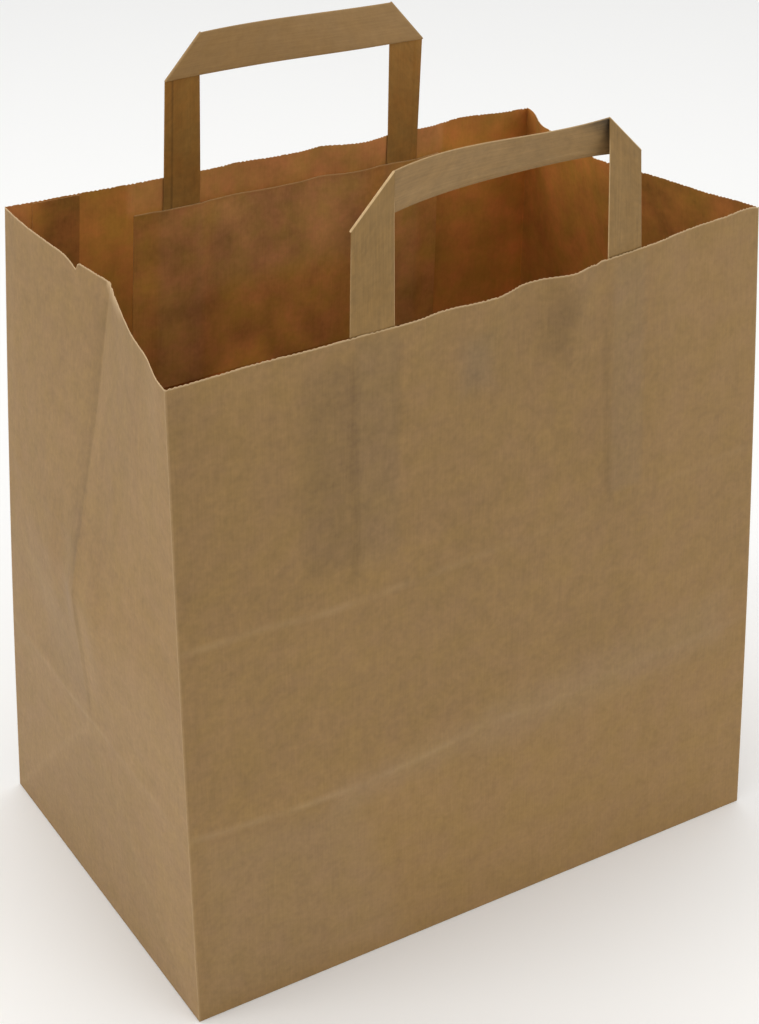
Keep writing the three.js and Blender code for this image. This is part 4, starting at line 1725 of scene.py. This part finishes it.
    def build(self, name: str, materials: list[bpy.types.Material]) -> bpy.types.Object:
        """Builds the handle.

        Args:
            name: The piece's name.
            materials: The finish of the crossbar and the legs' outer faces, and its copy painted warmer for
                the legs' inner faces.

        Returns:
            The dressed piece.
        """
        run, profile = self.run(), self.profile()
        points = self.points(run, profile)
        mesh = self.tube(name, points)
        steps = np.linalg.norm(np.diff(run.edges.mean(axis=1), axis=0), axis=-1)
        along = np.concatenate([[0.0], np.cumsum(steps)])
        blank = np.stack([np.repeat(along, len(profile)), np.tile(profile[:, 0], len(along))], axis=-1)
        lay_flat(mesh, blank)
        self.add_traces(mesh, points, profile, run)
        outward = Vector((0.0, -1.0 if self.panel is Panel.FRONT else 1.0, 0.0))
        on_leg = np.repeat(run.bar < 0.5, len(profile))
        # The legs' faces that look into the bag take the tape's copy painted warmer
        looks_in = [face.normal.dot(outward) < 0 and on_leg[face.vertices[0]] for face in mesh.polygons]
        mesh.polygons.foreach_set("material_index", [int(inner) for inner in looks_in])
        return joined(name, [mesh], materials, self.sharp_deg)


@dataclass
class LegPatch:
    """A paper patch glued inside a wall, over a handle's two legs."""

    handle: TapeHandle
    thickness: float = 0.12
    top: float = 12.5
    side_margin: float = 13.0
    lower_margin: float = 3.0
    leg_slope: float = 5.0
    glue: float = 0.3
    wall_gap: float = 0.22
    leg_lift: float = 0.9
    step: float = 2.7
    top_curl: float = 0.25
    curl_reach: float = 2.0
    top_line: float = 0.7
    top_wear: float = 0.85
    top_wave: float = 1.0
    wave_size: float = 34.0
    pulp_shift: float = 2 * GIRTH
    sharp_deg: float = 38.0

    @property
    def low(self) -> float:
        """The height of its lower edge."""
        return HEIGHT - self.handle.leg_reach - self.lower_margin

    @property
    def high(self) -> float:
        """The height of its upper edge."""
        return HEIGHT - self.top

    def grid(self) -> tuple[np.ndarray, np.ndarray]:
        """The patch's points on the flat wall, with columns where it rises over the legs.

        Returns:
            Places along the wall, and heights on the paper.
        """
        starts = self.handle.leg_starts()
        knots = [starts[0] - self.side_margin]
        for start in starts:
            end = start + self.handle.tape_width
            knots += [start - self.leg_slope, start - self.glue, end + self.glue, end + self.leg_slope]
        knots.append(starts[1] + self.handle.tape_width + self.side_margin)
        rows = [self.low, self.high - self.curl_reach, self.high - self.top_line, self.high]
        place, height = np.meshgrid(divide(knots, self.step), divide(rows, self.step))
        return place, height

    def lift(self, place: np.ndarray, height: np.ndarray) -> np.ndarray:
        """How far inside the wall's outer face the patch lies.

        Args:
            place: Places along the wall.
            height: Heights on the paper.

        Returns:
            Depths, which are greater over the legs and at the curled upper edge.
        """
        over = np.zeros_like(place)
        for start in self.handle.leg_starts():
            beyond = np.maximum(start - place, place - start - self.handle.tape_width)
            over = np.maximum(over, 1.0 - swell(beyond, self.glue, self.leg_slope))
        curl = ramp(height, self.high - self.curl_reach, self.high)
        return self.wall_gap + over * self.leg_lift + self.top_curl * curl**2

    def build(self, name: str, materials: list[bpy.types.Material]) -> bpy.types.Object:
        """Builds the patch.

        Args:
            name: The piece's name.
            materials: The finish of its glued face, its open face and its cut edges.

        Returns:
            The dressed piece.
        """
        walls, panel = self.handle.walls, self.handle.panel
        place, height = self.grid()
        lift = self.lift(place, height)
        wave = paper_noise(place, np.zeros_like(place), self.wave_size, walls.seed)
        height = height + self.top_wave * wave * ramp(height, self.low, self.high)
        blank = np.stack([place + panel.girth + self.pulp_shift, height], axis=-1)
        paper = sheet(walls.face(panel, place, height, lift), blank)
        # Painted light and shade on the patch's open face
        stain_and_painted_light(paper, Side.INNER, *marked(PATCH_PAINTED_LIGHT, panel, place, height))
        worn = np.zeros_like(place)
        worn[-1] = self.top_wear
        paint(paper, Side.INNER, Trace.WORN, worn)
        return joined(name, [thickened(paper, self.thickness, materials)], materials, self.sharp_deg)


@dataclass(frozen=True)
class SoftBox:
    """A soft studio lamp, aimed at the bag."""

    name: str
    place_m: tuple[float, float, float]
    size_m: float
    power_w: float
    colour: str


@dataclass(frozen=True)
class Studio:
    """A pale floor, soft light from all round with more from the left, and the photograph's camera."""

    # The camera, as fitted to the photograph
    azimuth_deg: float = -31.647
    elevation_deg: float = 27.337
    focal_px: float = 1850.0
    frame_px: float = 1024.0
    distance: float = 747.38
    aim_aside: float = 1.51
    aim_height: float = 131.95
    aim_up: float = 5.17
    sensor: float = 36.0
    clip_near_m: float = 0.01
    clip_far_m: float = 100.0
    # The floor and the light
    floor_size_m: float = 12.0
    floor_colour: str = "#fbfbfa"
    floor_roughness: float = 0.9
    sky_colour: str = "#ffffff"
    sky_strength: float = 0.78
    lamps: tuple[SoftBox, ...] = (
        SoftBox("key", (-1.8, 0.25, 0.35), 0.9, 13.0, "#fffdf8"),
        SoftBox("fill", (0.6, -2.0, 0.5), 1.4, 10.0, "#fffefc"),
        SoftBox("top", (0.0, 0.1, 2.2), 1.3, 11.0, "#fffefc"),
    )

    def camera(self) -> None:
        """Sets the camera where the photograph was taken from."""
        azimuth, elevation = math.radians(self.azimuth_deg), math.radians(self.elevation_deg)
        level = math.cos(elevation)
        back = Vector((math.sin(azimuth) * level, -math.cos(azimuth) * level, math.sin(elevation)))
        right = Vector((math.cos(azimuth), math.sin(azimuth), 0.0))
        up = back.cross(right)
        aim = right * self.aim_aside + Vector((0.0, 0.0, self.aim_height)) + up * self.aim_up
        lens = bpy.data.cameras.new("photo_camera")
        lens.sensor_width = self.sensor
        lens.lens = self.focal_px * self.sensor / self.frame_px
        lens.clip_start = self.clip_near_m
        lens.clip_end = self.clip_far_m
        holder = hosted("photo_camera", lens)
        holder.location = (aim + back * self.distance) * MM
        holder.rotation_euler = (-back).to_track_quat("-Z", "Y").to_euler()
        bpy.context.scene.camera = holder

    def floor(self) -> None:
        """Lays the pale floor."""
        half = self.floor_size_m / 2
        corners = [(-half, -half, 0.0), (half, -half, 0.0), (half, half, 0.0), (-half, half, 0.0)]
        mesh = bpy.data.meshes.new("floor")
        mesh.from_pydata(corners, [], [[0, 1, 2, 3]])
        pale = bpy.data.materials.new("pale_floor")
        pale.use_nodes = True
        surface = pale.node_tree.nodes["Principled BSDF"]
        surface.inputs["Base Color"].default_value = linear(self.floor_colour)
        surface.inputs["Roughness"].default_value = self.floor_roughness
        mesh.materials.append(pale)
        hosted("floor", mesh)

    def light(self) -> None:
        """Lights the stage."""
        world = bpy.data.worlds.new("studio")
        world.use_nodes = True
        background = world.node_tree.nodes["Background"]
        background.inputs["Color"].default_value = linear(self.sky_colour)
        background.inputs["Strength"].default_value = self.sky_strength
        bpy.context.scene.world = world
        for box in self.lamps:
            lamp = bpy.data.lights.new(box.name, "AREA")
            lamp.shape = "DISK"
            lamp.size = box.size_m
            lamp.energy = box.power_w
            lamp.color = linear(box.colour)[:3]
            holder = hosted(box.name, lamp)
            holder.location = box.place_m
            aim = Vector((0.0, 0.0, self.aim_height * MM)) - Vector(box.place_m)
            holder.rotation_euler = aim.to_track_quat("-Z", "Y").to_euler()
        bpy.context.scene.view_settings.view_transform = "Standard"

    def build(self) -> None:
        """Builds the stage, the light and the camera."""
        self.floor()
        self.light()
        self.camera()


def settle(piece: bpy.types.Object, node: str) -> None:
    """Makes a piece ride on the bag and stand for its node.

    Args:
        piece: The finished piece.
        node: The node that it replaces.
    """
    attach(piece, BODY)
    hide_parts(node)
    LOG.info("%s stands for %s with %d faces", piece.name, node, len(piece.data.polygons))


def main() -> None:
    """Builds the bag's pieces in order and dresses them."""
    logging.basicConfig(level=logging.INFO)
    Studio().build()
    walls = PaperWalls()
    cut_edge = CUT_EDGE.material()
    body = BagBody(walls).build([OUTSIDE.material(), INSIDE.material(), cut_edge])
    settle(body, "bag_body")
    tape = [TAPE.material(), TAPE_INSIDE.material()]
    patch_paper = PATCH.material()
    front = TapeHandle(
        walls,
        Panel.FRONT,
        shift=-0.1,
        first=LegStance(sway=-4.9, lean=7.9, turn_deg=-6.0, fold_opening_deg=5.0),
        second=LegStance(sway=-9.5, lean=6.1, turn_deg=-4.7, fold_opening_deg=26.0),
        # Painted light on the crossbar and a painted shadow in its cleft
        bar_painted_light=0.11,
        bar_roll_deg=11.5,
        cleft_painted_shadow=-0.95,
    )
    back = TapeHandle(
        walls,
        Panel.BACK,
        shift=-1.8,
        first=LegStance(sway=0.4, lean=-2.0, turn_deg=4.7, fold_opening_deg=2.0),
        second=LegStance(sway=0.7, lean=-4.7, turn_deg=-5.8, fold_opening_deg=2.0),
        # Painted light on the crossbar
        bar_painted_light=0.58,
        fold_wear=0.15,
        edge_wear=(0.15, 0.15),
    )
    for word, handle in (("front", front), ("back", back)):
        settle(handle.build(f"{word}_tape", tape), f"{word}_handle")
        patch = LegPatch(handle).build(f"{word}_leg_patch", [patch_paper, patch_paper, cut_edge])
        settle(patch, f"{word}_patch")


if __name__ == "__main__":
    main()
